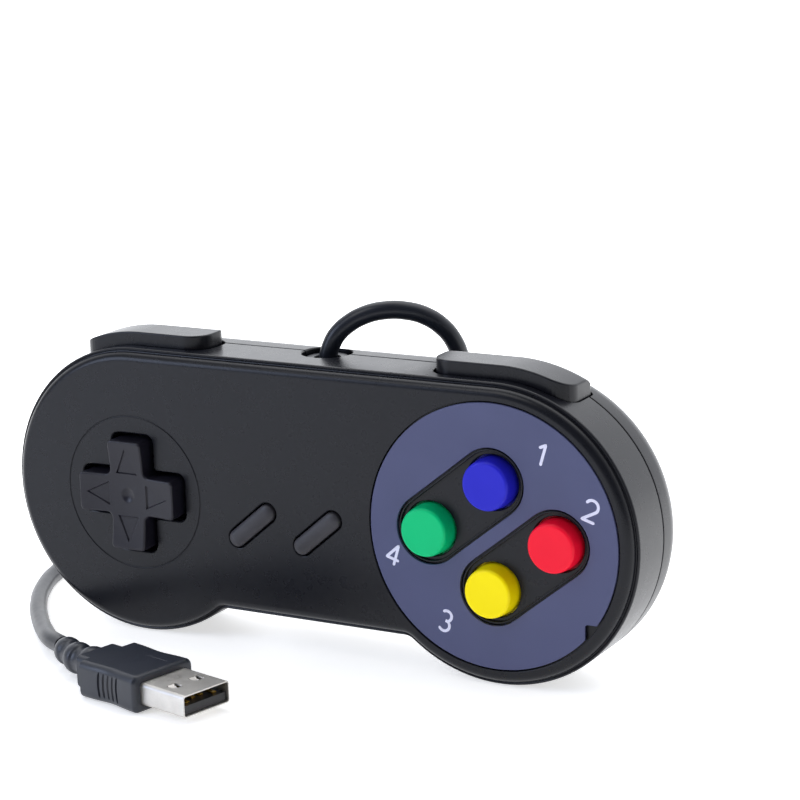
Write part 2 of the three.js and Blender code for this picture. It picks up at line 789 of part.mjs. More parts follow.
function sweep(route, radius, steps) {
  const path = new THREE.CatmullRomCurve3(route.map((point) => new THREE.Vector3(...point)));
  const geometry = new THREE.ExtrudeGeometry(circle(0, 0, radius, 8), {
    steps,
    bevelEnabled: false,
    extrudePath: path,
  });
  return solidOf(geometry);
}

function makeCordInside() {
  const level = BOARD_BACK + 0.2;
  const connector = block(CORD_X - 5.5, CORD_X + 5.5, level + 0.5, level + 4.5, 12.8, 17.6);
  place("lead_connector", connector, MATERIALS.whitePlastic);
  const inside = column(circle(CORD_X, PARTING_DEPTH + 0.8, CORD_RADIUS, 12), 17.9, 23.2);
  place("inner_lead", inside, MATERIALS.cordBlack);
  const grommet = joined(
    column(circle(CORD_X, PARTING_DEPTH, GROMMET_FLANGE, 24), 25.2, LOBE_RADIUS - WALL - 1),
    column(circle(CORD_X, PARTING_DEPTH, CORD_HOLE - GAP, 24), 23.5, GROMMET_TOP),
  );
  place("cord_grommet", grommet, MATERIALS.cordBlack);
}

function makeCoil() {
  const half = COIL_WIDTH / 2;
  const corner = 1.5;
  const profile = [
    [-half + corner, 0],
    [half - corner, 0],
    [half, corner],
    [half, COIL_HEIGHT - corner],
    [half - corner, COIL_HEIGHT],
    [-half + corner, COIL_HEIGHT],
    [-half, COIL_HEIGHT - corner],
    [-half, corner],
    [-half + corner, 0],
  ].map(([across, up]) => new THREE.Vector2(COIL_RADIUS + across, up));
  const ring = new THREE.LatheGeometry(profile, 36);
  ring.rotateX(Math.PI / 2);
  return solidOf(ring);
}

// A bar across the coil's bundle of turns at the tie.
function tieBar(inside, bottom, width) {
  const side = inside / 2;
  const shape = rectangle(COIL_RADIUS - side, bottom, COIL_RADIUS + side, bottom + inside);
  const geometry = new THREE.ExtrudeGeometry(shape, { depth: width, bevelEnabled: false });
  geometry.rotateX(Math.PI / 2);
  geometry.translate(0, width / 2, 0);
  return solidOf(geometry);
}

function makeCord() {
  place("cord_lead", sweep(LEAD_ROUTE, CORD_RADIUS, 32), MATERIALS.cordBlack);
  place("cord_tail", sweep(TAIL_ROUTE, CORD_RADIUS, 24), MATERIALS.cordBlack);

  const coil = new THREE.Group();
  coil.position.set(COIL_X, COIL_Y, 0);
  coil.rotation.z = radians(TIE_ANGLE);
  gamepad.add(coil);
  const outside = TIE_INSIDE + 2 * TIE_THICKNESS;
  const waist = cut(
    tieBar(outside + 4, -2, TIE_WIDTH + 2 * GAP),
    tieBar(TIE_INSIDE - 2 * GAP, TIE_THICKNESS + GAP, TIE_WIDTH + 4),
  );
  place("cord_coil", cut(makeCoil(), waist), MATERIALS.cordBlack, coil);
  const tie = cut(tieBar(outside, 0, TIE_WIDTH), tieBar(TIE_INSIDE, TIE_THICKNESS, TIE_WIDTH + 2));
  place("coil_tie", tie, MATERIALS.cordBlack, coil);
}

// ---------------------------------------------------------------- the plug

// Pieces of the plug lie along X with the mouth at 0 and the rear at negative X.
function plugSlice(shape, rear, front) {
  const geometry = new THREE.ExtrudeGeometry(shape, { depth: front - rear, bevelEnabled: false });
  const alongX = new THREE.Matrix4().makeBasis(
    new THREE.Vector3(0, 1, 0),
    new THREE.Vector3(0, 0, 1),
    new THREE.Vector3(1, 0, 0),
  );
  geometry.applyMatrix4(alongX);
  geometry.translate(rear, 0, 0);
  return solidOf(geometry);
}

function plugSection(width, height, corner, steps = 3) {
  return rectangle(-width / 2, -height / 2, width / 2, height / 2, corner, steps);
}

// The strain relief bends towards the cord: rings on an arc, thick and thin in turn.
function plugRelief(start) {
  const ringCount = 5;
  const bendStep = 7;
  const length = 3;
  const rings = [];
  const place = new THREE.Matrix4().makeTranslation(start, 0, 0);
  for (let i = 0; i < ringCount; i += 1) {
    const radius = i % 2 === 0 ? 3.7 - 0.2 * i : 3.1 - 0.2 * i;
    const geometry = new THREE.CylinderGeometry(radius, radius, length + 0.6, 16);
    geometry.rotateZ(Math.PI / 2);
    geometry.translate(-length / 2, 0, 0);
    geometry.applyMatrix4(place);
    rings.push(solidOf(geometry));
    place.multiply(new THREE.Matrix4().makeTranslation(-length, 0, 0));
    place.multiply(new THREE.Matrix4().makeRotationZ(radians(-bendStep)));
  }
  return joined(...rings);
}

function makePlug() {
  const plug = new THREE.Group();
  plug.position.set(PLUG_MOUTH[0], PLUG_MOUTH[1], PLUG_Z);
  plug.rotation.z = radians(PLUG_TURN);
  gamepad.add(plug);

  const gripRear = -SHELL_LENGTH - GRIP_LENGTH;
  const body = joined(
    plugSlice(plugSection(GRIP_WIDTH, GRIP_HEIGHT, 1.2), gripRear, -SHELL_LENGTH),
    plugSlice(plugSection(10.5, 6.8, 1.2), gripRear - 4, gripRear + 1),
    plugRelief(gripRear - 3.8),
  );
  const pocket = plugSlice(
    plugSection(SHELL_WIDTH + 2 * GAP, SHELL_HEIGHT + 2 * GAP, 0.6),
    -SHELL_LENGTH - POCKET_LENGTH,
    1,
  );
  const grooves = Array.from({ length: 5 }, (_, i) => {
    const rear = gripRear + 5 + 1.3 * i;
    return cut(
      plugSlice(plugSection(GRIP_WIDTH + 2, 5.4, 0), rear, rear + 0.6),
      plugSlice(plugSection(GRIP_WIDTH - 0.8, 8, 0), rear - 1, rear + 2),
    );
  });
  place("usb_plug_body", cut(body, pocket, ...grooves), MATERIALS.plugPlastic, plug);

  const rear = -SHELL_LENGTH - POCKET_LENGTH + GAP;
  const inner = plugSection(SHELL_WIDTH - 2 * SHELL_WALL, SHELL_HEIGHT - 2 * SHELL_WALL, 0.3);
  const windows = [-2.8, 2.8].map((across) =>
    plugSlice(rectangle(across - 1.2, -4, across + 1.2, 4), -7, -4.6),
  );
  const shell = cut(
    plugSlice(plugSection(SHELL_WIDTH, SHELL_HEIGHT, 0.6), rear, 0),
    plugSlice(inner, rear - 1, 1),
    ...windows,
  );
  place("usb_plug_shell", shell, MATERIALS.steel, plug);

  const floor = -SHELL_HEIGHT / 2 + SHELL_WALL + 0.1;
  const tongueTop = floor + 1.7;
  const tongueWidth = SHELL_WIDTH - 2 * SHELL_WALL - 0.4;
  const tongue = plugSlice(
    rectangle(-tongueWidth / 2, floor, tongueWidth / 2, tongueTop),
    rear,
    -0.6,
  );
  place("usb_plug_insulator", tongue, MATERIALS.tongue, plug);
  [-3.5, -1, 1, 3.5].forEach((across, i) => {
    const front = Math.abs(across) > 2 ? -1.6 : -2.6;
    const strip = plugSlice(
      rectangle(across - 0.5, tongueTop + 0.1, across + 0.5, tongueTop + 0.35),
      rear + 2,
      front,
    );
    place(`usb_contact_${i + 1}`, strip, MATERIALS.gold, plug);
  });
}

makeCase();
makePlate();
makeFaceButtons();
makeMenuButtons();
makePad();
makeShoulders();
makeBoard();
makeCordInside();
makeCord();
makePlug();

export default gamepad;
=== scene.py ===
"""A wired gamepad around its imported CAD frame: the finished case, controls, cord and plug.

Shapes are made in millimetres and written in metres. +X is to the right, +Y to the back, +Z up.
"Depth" counts from the face plane towards the back, "rise" from the level of the lobes' centres.
"""

import math

import bmesh
import bpy
from mathutils import Matrix, Vector


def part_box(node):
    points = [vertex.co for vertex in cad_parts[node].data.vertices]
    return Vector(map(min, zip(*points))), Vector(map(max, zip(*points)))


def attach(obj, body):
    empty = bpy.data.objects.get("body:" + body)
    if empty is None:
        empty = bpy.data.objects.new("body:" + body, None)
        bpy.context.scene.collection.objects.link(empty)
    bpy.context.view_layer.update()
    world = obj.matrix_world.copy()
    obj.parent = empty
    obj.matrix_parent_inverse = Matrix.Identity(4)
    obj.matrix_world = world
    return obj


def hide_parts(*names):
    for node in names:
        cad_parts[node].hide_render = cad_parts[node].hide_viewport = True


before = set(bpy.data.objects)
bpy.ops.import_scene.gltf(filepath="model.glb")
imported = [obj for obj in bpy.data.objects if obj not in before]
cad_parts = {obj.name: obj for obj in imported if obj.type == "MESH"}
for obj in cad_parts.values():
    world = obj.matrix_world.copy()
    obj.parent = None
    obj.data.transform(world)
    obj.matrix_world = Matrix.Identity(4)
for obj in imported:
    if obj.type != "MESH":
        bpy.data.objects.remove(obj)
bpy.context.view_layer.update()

MM = 0.001
SCENE = bpy.context.scene


def box_mm(node):
    low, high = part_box(node)
    return low / MM, high / MM


def middle(node):
    low, high = box_mm(node)
    return (low + high) / 2


# ---------------------------------------------------------------- places from the frame

PLATE = middle("button_plate")
PAD = middle("dpad")
FACE_Y = box_mm("button_plate")[0].y
LOBE_X = PLATE.x
LOBE_Z = PLATE.z
LOBE_RADIUS = box_mm("front_shell")[1].x - LOBE_X
CASE_DEPTH = box_mm("back_shell")[1].y - FACE_Y
PLATE_RADIUS = box_mm("button_plate")[1].x - LOBE_X
CONTROL_TOP = box_mm("red_button")[0].y - FACE_Y
PAD_TOP = box_mm("dpad")[0].y - FACE_Y
BUTTONS = ("green_button", "blue_button", "red_button", "yellow_button")

# ---------------------------------------------------------------- the rest of the design

BRIDGE_RISE = -23.2
BRIDGE_FILLET = 3
PARTING_DEPTH = 13.2
LIP_END = PARTING_DEPTH + 1.5
WALL = 2.2
GAP = 0.3
CAPSULE_RADIUS = 7.1
ISLAND_RADIUS = 6.8
WELL_RADIUS = 6.35
BUTTON_RADIUS = 5.2
BUTTON_HOLE = 5.6
PAD_REACH = 11.6
PAD_HALF_WIDTH = 4.1
PAD_CLEARANCE = 0.9
PAD_RING_RADIUS = 16.28
MENU_LENGTH = 13.5
MENU_WIDTH = 4.2
MENU_ANGLE = 40
MENU_PLACES = ((-12.9, -3.9), (2.4, -3.8))
SHOULDER_STEP = 2.8
SHOULDER_SKIRT = 3.5
SHOULDER_INNER = 26.3
SHOULDER_OUTER = 56.3
SHOULDER_FRONT = 4.5
SHOULDER_BACK = 15
SHOULDER_FRONT_CORNER = 4.4
SHOULDER_BACK_CORNER = 3.6
HINGE_RISE = 21
SCREW_PLACES = ((-60.8, -13.5), (60.8, -13.5), (-15.5, 15), (15.5, 15), (0, -15.5))
HEAD_SEAT = 17
BACK_EDGE = 7
CORD_RADIUS = 1.9
CORD_X = -1.6
CORD_HOLE = 5.2
PLUG_MOUTH = (-0.4, -48.7, 3.8)
PLUG_TURN = -13.9
PLUG_SHELL = (12, 4.5, 12)
PLUG_GRIP = (15.6, 7.6, 16.5)

LEAD_ROUTE = [
    (-1.2, 2.8, 60.7), (-0.5, 3, 62.7), (0.6, 3.4, 64.6), (2.7, 4.4, 66.7), (5.6, 5.8, 68.4),
    (9.2, 7.6, 69.3), (13, 9.8, 69.1), (16.4, 12, 67.8), (19, 14, 65.4), (20.6, 15.7, 62.3),
    (21.3, 17.1, 58.5), (21.5, 18, 54), (21.4, 18.3, 48), (21.2, 18.4, 42), (20.9, 18.6, 36),
    (20.4, 19.5, 30), (19.4, 21.7, 24.5), (17.6, 26, 19.3), (15.8, 31, 16), (14.3, 36.4, 14.75),
]
TAIL_ROUTE = [
    (-24.5, 72.2, 1.95), (-32, 71.6, 1.95), (-44, 69, 1.95), (-56, 63.4, 1.95),
    (-66.6, 54.6, 1.95), (-74.6, 43.4, 1.95), (-79.4, 31.6, 1.95), (-80.9, 20.6, 1.95),
    (-79.3, 10.6, 1.95), (-75.2, 0.6, 1.95), (-69.2, -9.2, 1.98), (-62.2, -18, 2.1),
    (-55.6, -25.2, 2.6), (-50.2, -30.4, 3.3), (-45.3, -33.6, 3.78),
]


# ---------------------------------------------------------------- camera

def make_camera():
    data = bpy.data.cameras.new("view")
    data.lens = 117.2
    data.sensor_width = 36
    data.clip_start = 0.01
    data.clip_end = 30
    camera = bpy.data.objects.new("view", data)
    right = Vector((0.87620, 0.48111, -0.02830))
    up = Vector((-0.08844, 0.21823, 0.97188))
    back = Vector((0.47376, -0.84906, 0.23377))
    turn = Matrix((right, up, back)).transposed().to_4x4()
    camera.matrix_world = Matrix.Translation((0.2619, -0.4398, 0.1742)) @ turn
    SCENE.collection.objects.link(camera)
    SCENE.camera = camera


make_camera()


# ---------------------------------------------------------------- the cord's run

COIL = middle("cord_coil").to_2d()
COLUMNS = (17.7, 21.5, 25.3)
LAYERS = (9.5, 5.7, 1.9)
WINDOW = 60  # degrees in which a turn moves to the next column or layer
ON_TOP = LAYERS[0] + 2 * CORD_RADIUS
TIE_ANGLE = 200
TIE_LIFT = 0.9
TIE_SPREAD = 40
COIL_STEP = 20
COIL_EXIT = 90


def ease(t):
    t = min(max(t, 0), 1)
    return t * t * (3 - 2 * t)


def coil_point(angle, radius, height):
    from_tie = (angle - TIE_ANGLE + 180) % 360 - 180
    lift = TIE_LIFT * (1 - ease(abs(from_tie) / TIE_SPREAD))
    x = COIL.x + radius * math.cos(math.radians(angle))
    y = COIL.y + radius * math.sin(math.radians(angle))
    return (x, y, height + lift)


def coil_route():
    """Three layers of three turns, with a window for each kind of move, each before the last one's."""
    inner, mid, outer = COLUMNS
    enter = [(-15, 21.9, 14.2), (-5, 20, 13.8), (5, 18.8, 13.5), (15, 18.1, ON_TOP), (25, 17.8, ON_TOP)]
    window = -25
    angle = window + WINDOW
    moves = [(angle, inner, LAYERS[0])]
    for layer, order in enumerate(((mid, outer), (mid, inner), (mid, outer))):
        for radius in order:
            angle = next_window(angle, window)
            moves.append((angle, radius, LAYERS[layer]))
        window -= WINDOW
        if layer + 1 < len(LAYERS):
            angle = next_window(angle, window)
            moves.append((angle, order[-1], LAYERS[layer + 1]))
            window -= WINDOW
    points = [coil_point(*entry) for entry in enter]
    radius, height = inner, ON_TOP
    stops = [move[0] for move in moves[1:]] + [next_window(angle, COIL_EXIT)]
    for (begin, new_radius, new_height), stop in zip(moves, stops):
        for i in range(math.ceil((stop - begin) / COIL_STEP)):
            t = ease(i * COIL_STEP / WINDOW)
            now = radius + (new_radius - radius) * t, height + (new_height - height) * t
            points.append(coil_point(begin + i * COIL_STEP, *now))
        radius, height = new_radius, new_height
    points.append(coil_point(stops[-1], radius, height))
    return points


def next_window(angle, window):
    """The next angle after this one at which the turn passes the given window's start."""
    angle += WINDOW
    return angle + (window - angle) % 360


def make_curve(name, points, radius, bevel_resolution=5, resolution=6):
    curve = bpy.data.curves.new(name, "CURVE")
    curve.dimensions = "3D"
    curve.bevel_depth = radius * MM
    curve.bevel_resolution = bevel_resolution
    curve.resolution_u = resolution
    curve.use_fill_caps = True
    spline = curve.splines.new("BEZIER")
    spline.bezier_points.add(len(points) - 1)
    for knot, place in zip(spline.bezier_points, points):
        knot.co = Vector(place) * MM
        knot.handle_left_type = knot.handle_right_type = "AUTO"
    piece = bpy.data.objects.new(name, curve)
    SCENE.collection.objects.link(piece)
    return piece


def make_cord():
    start = [(CORD_X, 2.8, 57.8)]
    end = [(-44.6, -34.05, 3.8)]
    points = start + LEAD_ROUTE + coil_route() + TAIL_ROUTE + end
    return make_curve("cord", points, CORD_RADIUS)


cord = make_cord()


# ---------------------------------------------------------------- outlines
# An outline is a function of an inset: it gives its points moved inwards by that much.

def arc(x, z, radius, start, end, steps):
    angles = [math.radians(start + (end - start) * i / steps) for i in range(steps + 1)]
    return [(x + radius * math.cos(a), z + radius * math.sin(a)) for a in angles]


def circle(x, z, radius, steps=72):
    return lambda inset: arc(x, z, radius - inset, 0, 360 - 360 / steps, steps - 1)


def capsule(a, b, radius, steps=20):
    along = math.degrees(math.atan2(b[1] - a[1], b[0] - a[0]))

    def at(inset):
        r = radius - inset
        return arc(*b, r, along - 90, along + 90, steps) + arc(*a, r, along + 90, along + 270, steps)

    return at


def pill(x, rise, radius):
    half = (MENU_LENGTH - MENU_WIDTH) / 2
    dx = half * math.cos(math.radians(MENU_ANGLE))
    dz = half * math.sin(math.radians(MENU_ANGLE))
    return capsule((x - dx, rise - dz), (x + dx, rise + dz), radius)


def rotated(points, degrees):
    c, s = math.cos(math.radians(degrees)), math.sin(math.radians(degrees))
    return [(x * c - z * s, x * s + z * c) for x, z in points]


def cross(reach, half, convex, concave, steps=6):
    """A plus sign about the pad's middle, with rounded tips and rounded inner corners."""
    def at(inset):
        tip, side = reach - convex, half - convex
        inner = half + concave
        arm = arc(tip, -side, convex - inset, -90, 0, steps)
        arm += arc(tip, side, convex - inset, 0, 90, steps)
        arm += arc(inner, inner, concave + inset, 270, 180, steps)
        points = [p for turn in (0, 90, 180, 270) for p in rotated(arm, turn)]
        return [(PAD.x + x, z) for x, z in points]

    return at


def case(inset):
    """Both lobes and the bridge between them."""
    centre_rise = BRIDGE_RISE - BRIDGE_FILLET
    reach = LOBE_RADIUS + BRIDGE_FILLET
    across = math.sqrt(reach ** 2 - centre_rise ** 2)
    corner = math.degrees(math.atan2(-centre_rise, across))
    right = arc(LOBE_X, 0, LOBE_RADIUS - inset, 90, corner - 180, 76)
    right += arc(LOBE_X - across, centre_rise, BRIDGE_FILLET + inset, corner, 90, 6)
    return right + [(-x, z) for x, z in reversed(right)]


def box_outline(left, low, right, high, corners, steps=8):
    """A rounded rectangle. Corners are given from the lower left, counterclockwise."""
    a, b, c, d = corners

    def at(inset):
        return (
            arc(left + a, low + a, a - inset, 180, 270, steps)
            + arc(right - b, low + b, b - inset, 270, 360, steps)
            + arc(right - c, high - c, c - inset, 0, 90, steps)
            + arc(left + d, high - d, d - inset, 90, 180, steps)
        )

    return at


# ---------------------------------------------------------------- solids, in millimetres

def link_mesh(shape, name="piece"):
    mesh = bpy.data.meshes.new(name)
    shape.to_mesh(mesh)
    shape.free()
    piece = bpy.data.objects.new(name, mesh)
    SCENE.collection.objects.link(piece)
    return piece


def loft(rings, closed=False):
    """A closed solid through rings of equal length. A closed loft joins its last ring to its first."""
    shape = bmesh.new()
    loops = [[shape.verts.new(p) for p in ring] for ring in rings]
    pairs = list(zip(loops, loops[1:]))
    if closed:
        pairs.append((loops[-1], loops[0]))
    else:
        shape.faces.new(loops[0])
        shape.faces.new(loops[-1])
    count = len(loops[0])
    for low, high in pairs:
        for i in range(count):
            j = (i + 1) % count
            shape.faces.new((low[i], low[j], high[j], high[i]))
    bmesh.ops.recalc_face_normals(shape, faces=shape.faces)
    return link_mesh(shape)


def stack(outline, profile):
    """An outline in X and rise carried through (inset, depth) pairs."""
    return loft(
        [[(x, FACE_Y + depth, LOBE_Z + z) for x, z in outline(inset)] for inset, depth in profile]
    )


def tower(outline, profile):
    """An outline in X and depth carried through (inset, rise) pairs."""
    return loft(
        [[(x, FACE_Y + d, LOBE_Z + rise) for x, d in outline(inset)] for inset, rise in profile]
    )


def turned(profile, steps=72):
    """A solid turned about Z from (radius, height) pairs that start and end on the axis."""
    shape = bmesh.new()
    spokes = []
    for radius, height in profile:
        if radius == 0:
            spokes.append([shape.verts.new((0, 0, height))])
        else:
            spokes.append([shape.verts.new((x, y, height)) for x, y in circle(0, 0, radius, steps)(0)])
    for low, high in zip(spokes, spokes[1:]):
        for i in range(steps):
            j = (i + 1) % steps
            corners = [low[i % len(low)], low[j % len(low)], high[j % len(high)], high[i % len(high)]]
            shape.faces.new(list(dict.fromkeys(corners)))
    bmesh.ops.recalc_face_normals(shape, faces=shape.faces)
    return link_mesh(shape)


def block(low, high):
    (x0, y0, z0), (x1, y1, z1) = low, high
    return loft([[(x0, y0, z), (x1, y0, z), (x1, y1, z), (x0, y1, z)] for z in (z0, z1)])


def row_block(left, right, front, back, bottom, top):
    return block(
        (left, FACE_Y + front, LOBE_Z + bottom), (right, FACE_Y + back, LOBE_Z + top)
    )


def moved(piece, matrix):
    piece.data.transform(matrix)
    if matrix.determinant() < 0:
        piece.data.flip_normals()
    return piece


FROM_Z_TO_DEPTH = Matrix.Rotation(math.radians(-90), 4, "X")


def set_in_face(piece, x, rise, depth=0):
    """Lays a piece made about Z into the face: its +Z becomes the depth."""
    return moved(piece, Matrix.Translation((x, FACE_Y + depth, LOBE_Z + rise)) @ FROM_Z_TO_DEPTH)


def bake_modifiers(piece):
    graph = bpy.context.evaluated_depsgraph_get()
    mesh = bpy.data.meshes.new_from_object(piece.evaluated_get(graph))
    piece.modifiers.clear()
    old = piece.data
    piece.data = mesh
    bpy.data.meshes.remove(old)


def combine(base, operation, tools):
    for tool in tools:
        step = base.modifiers.new("step", "BOOLEAN")
        step.operation = operation
        step.solver = "EXACT"
        step.object = tool
    bake_modifiers(base)
    for tool in tools:
        bpy.data.meshes.remove(tool.data)
    return base


def cut(base, *tools):
    return combine(base, "DIFFERENCE", tools)


def joined(base, *tools):
    return combine(base, "UNION", tools)


def common(base, *tools):
    return combine(base, "INTERSECT", tools)


def from_frame(node):
    """A closed copy of a CAD node, in millimetres."""
    shape = bmesh.new()
    shape.from_mesh(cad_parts[node].data)
    bmesh.ops.scale(shape, vec=(1 / MM, 1 / MM, 1 / MM), verts=shape.verts)
    bmesh.ops.remove_doubles(shape, verts=shape.verts, dist=0.001)
    bmesh.ops.recalc_face_normals(shape, faces=shape.faces)
    return link_mesh(shape)


def sliced(piece, axis, places):
    """Adds edges where planes across an axis pass, so that flat faces can be bent."""
    normal = Vector([float(i == axis) for i in range(3)])
    shape = bmesh.new()
    shape.from_mesh(piece.data)
    for place in places:
        everything = shape.verts[:] + shape.edges[:] + shape.faces[:]
        bmesh.ops.bisect_plane(shape, geom=everything, plane_co=normal * place, plane_no=normal)
    shape.to_mesh(piece.data)
    shape.free()
    return piece


def lip(surface, bottom, radius, steps=5):
    """Profile of a hole with a rounded lip, from above its surface down to its bottom."""
    down = 1 if bottom > surface else -1
    profile = [(-0.85 * radius, surface - down)]
    for i in range(steps):
        t = math.radians(15 + 75 * i / (steps - 1))
        profile.append((-radius * (1 - math.sin(t)), surface + down * radius * (1 - math.cos(t))))
    return profile + [(0, bottom)]


def rounded_edge(inset, depth, radius, steps=6):
    """(inset, depth) pairs round an outer edge whose corner is at (inset, depth)."""
    pairs = []
    for i in range(steps + 1):
        t = math.radians(90 * i / steps)
        pairs.append((inset + radius * (1 - math.sin(t)), depth + radius * (1 - math.cos(t))))
    return pairs


# ---------------------------------------------------------------- materials

class Surface:
    """A procedural surface: a base colour that varies a little, uneven roughness and layers of bump."""

    def __init__(self, name, colour, roughness, metallic=0.0):
        self.material = bpy.data.materials.new(name)
        self.material.use_nodes = True
        self.nodes = self.material.node_tree.nodes
        self.links = self.material.node_tree.links
        self.shader = self.nodes["Principled BSDF"]
        self.shader.inputs["Metallic"].default_value = metallic
        self.place = self.nodes.new("ShaderNodeTexCoord").outputs["Object"]
        self.height = None
        self.colour = colour
        self.roughness = roughness

    def noise(self, scale, detail=3, stretch=(1, 1, 1), roughness=0.5):
        mapping = self.nodes.new("ShaderNodeMapping")
        mapping.inputs["Scale"].default_value = stretch
        self.links.new(self.place, mapping.inputs["Vector"])
        noise = self.nodes.new("ShaderNodeTexNoise")
        noise.inputs["Scale"].default_value = scale
        noise.inputs["Detail"].default_value = detail
        noise.inputs["Roughness"].default_value = roughness
        self.links.new(mapping.outputs["Vector"], noise.inputs["Vector"])
        return noise.outputs["Fac"]

    def spread(self, source, low, high, to_low, to_high):
        node = self.nodes.new("ShaderNodeMapRange")
        ends = {"From Min": low, "From Max": high, "To Min": to_low, "To Max": to_high}
        for socket, value in ends.items():
            node.inputs[socket].default_value = value
        self.links.new(source, node.inputs["Value"])
        return node.outputs["Result"]

    def ramp(self, source, stops):
        node = self.nodes.new("ShaderNodeValToRGB")
        elements = node.color_ramp.elements
        while len(elements) < len(stops):
            elements.new(0.5)
        for element, (place, colour) in zip(elements, stops):
            element.position = place
            element.color = (*colour, 1)
        self.links.new(source, node.inputs["Fac"])
        return node.outputs["Color"]

    def vary_colour(self, source, amount, low=0.3, high=0.7):
        dark = [c * (1 - amount) for c in self.colour]
        light = [min(c * (1 + amount), 1) for c in self.colour]
        self.links.new(self.ramp(source, [(low, dark), (high, light)]), self.shader.inputs["Base Color"])

    def vary_roughness(self, source, amount, low=0.3, high=0.7):
        result = self.spread(source, low, high, self.roughness - amount, self.roughness + amount)
        self.links.new(result, self.shader.inputs["Roughness"])

    def bump(self, source, distance, strength=1.0):
        node = self.nodes.new("ShaderNodeBump")
        node.inputs["Distance"].default_value = distance
        node.inputs["Strength"].default_value = strength
        self.links.new(source, node.inputs["Height"])
        if self.height:
            self.links.new(self.height, node.inputs["Normal"])
        self.height = node.outputs["Normal"]
        self.links.new(self.height, self.shader.inputs["Normal"])


def moulded(name, colour, roughness, grain=0.000008, mottle=0.04, specular=0.5):
    """Moulded plastic: a fine eroded grain, faint flow marks, and slightly uneven gloss."""
    surface = Surface(name, colour, roughness)
    surface.vary_colour(surface.noise(130, 3), mottle)
    surface.vary_roughness(surface.noise(420, 4), 0.014)
    surface.bump(surface.noise(2600, 2, roughness=0.6), grain, 0.22)
    surface.bump(surface.noise(45, 1), 0.00005, 0.03)
    surface.shader.inputs["Specular IOR Level"].default_value = specular
    return surface.material


def linear(r, g, b):
    """A display colour, 0 to 255, as the linear values that shaders take."""
    return [(c / 255 / 12.92) if c < 10.4 else ((c / 255 + 0.055) / 1.055) ** 2.4 for c in (r, g, b)]


def rubbery(name, colour, roughness):
    surface = Surface(name, colour, roughness)
    surface.vary_colour(surface.noise(220, 4), 0.12)
    surface.vary_roughness(surface.noise(600, 4), 0.05)
    surface.bump(surface.noise(5200, 3, roughness=0.7), 0.00002, 0.7)
    surface.shader.inputs["Specular IOR Level"].default_value = 0.35
    return surface.material


def jacket(name, colour, roughness):
    """A smooth extruded cord jacket with faint drawing lines and handling marks."""
    surface = Surface(name, colour, roughness)
    surface.vary_colour(surface.noise(160, 3), 0.1)
    surface.vary_roughness(surface.noise(700, 5), 0.03)
    surface.bump(surface.noise(2600, 2, roughness=0.6), 0.000006, 0.4)
    surface.bump(surface.noise(90, 2), 0.00006, 0.08)
    surface.shader.inputs["Specular IOR Level"].default_value = 0.3
    return surface.material


def metal(name, colour, roughness, stretch=(1, 1, 1), scale=500):
    surface = Surface(name, colour, roughness, metallic=1.0)
    surface.vary_colour(surface.noise(300, 4), 0.07)
    surface.vary_roughness(surface.noise(scale, 5, stretch), 0.08)
    surface.bump(surface.noise(scale * 4, 4, stretch), 0.000006, 0.6)
    return surface.material


def board_green():
    """Solder mask over copper: paler tracks run under the green."""
    surface = Surface("board_green", linear(22, 92, 52), 0.32)
    brick = surface.nodes.new("ShaderNodeTexBrick")
    brick.inputs["Scale"].default_value = 260
    brick.inputs["Mortar Size"].default_value = 0.012
    brick.inputs["Color1"].default_value = (*linear(22, 92, 52), 1)
    brick.inputs["Color2"].default_value = (*linear(26, 104, 60), 1)
    brick.inputs["Mortar"].default_value = (*linear(66, 150, 84), 1)
    turn = surface.nodes.new("ShaderNodeMapping")
    turn.inputs["Rotation"].default_value = (math.radians(90), 0, 0)
    surface.links.new(surface.place, turn.inputs["Vector"])
    surface.links.new(turn.outputs["Vector"], brick.inputs["Vector"])
    surface.links.new(brick.outputs["Color"], surface.shader.inputs["Base Color"])
    surface.vary_roughness(surface.noise(500, 3), 0.06)
    surface.bump(brick.outputs["Fac"], 0.00003, 0.6)
    surface.bump(surface.noise(1500, 3), 0.00001, 0.4)
    return surface.material


def ribbed_ribbon():
    """A flat lead: parallel conductors show as ribs along it."""
    surface = Surface("ribbon_ribs", linear(201, 198, 187), 0.5)
    wave = surface.nodes.new("ShaderNodeTexWave")
    wave.bands_direction = "X"
    wave.inputs["Scale"].default_value = 320
    wave.inputs["Distortion"].default_value = 0.2
    surface.links.new(surface.place, wave.inputs["Vector"])
    surface.vary_colour(wave.outputs["Fac"], 0.14, 0.1, 0.9)
    surface.vary_roughness(surface.noise(500, 3), 0.05)
    surface.bump(wave.outputs["Fac"], 0.00008, 0.8)
    return surface.material


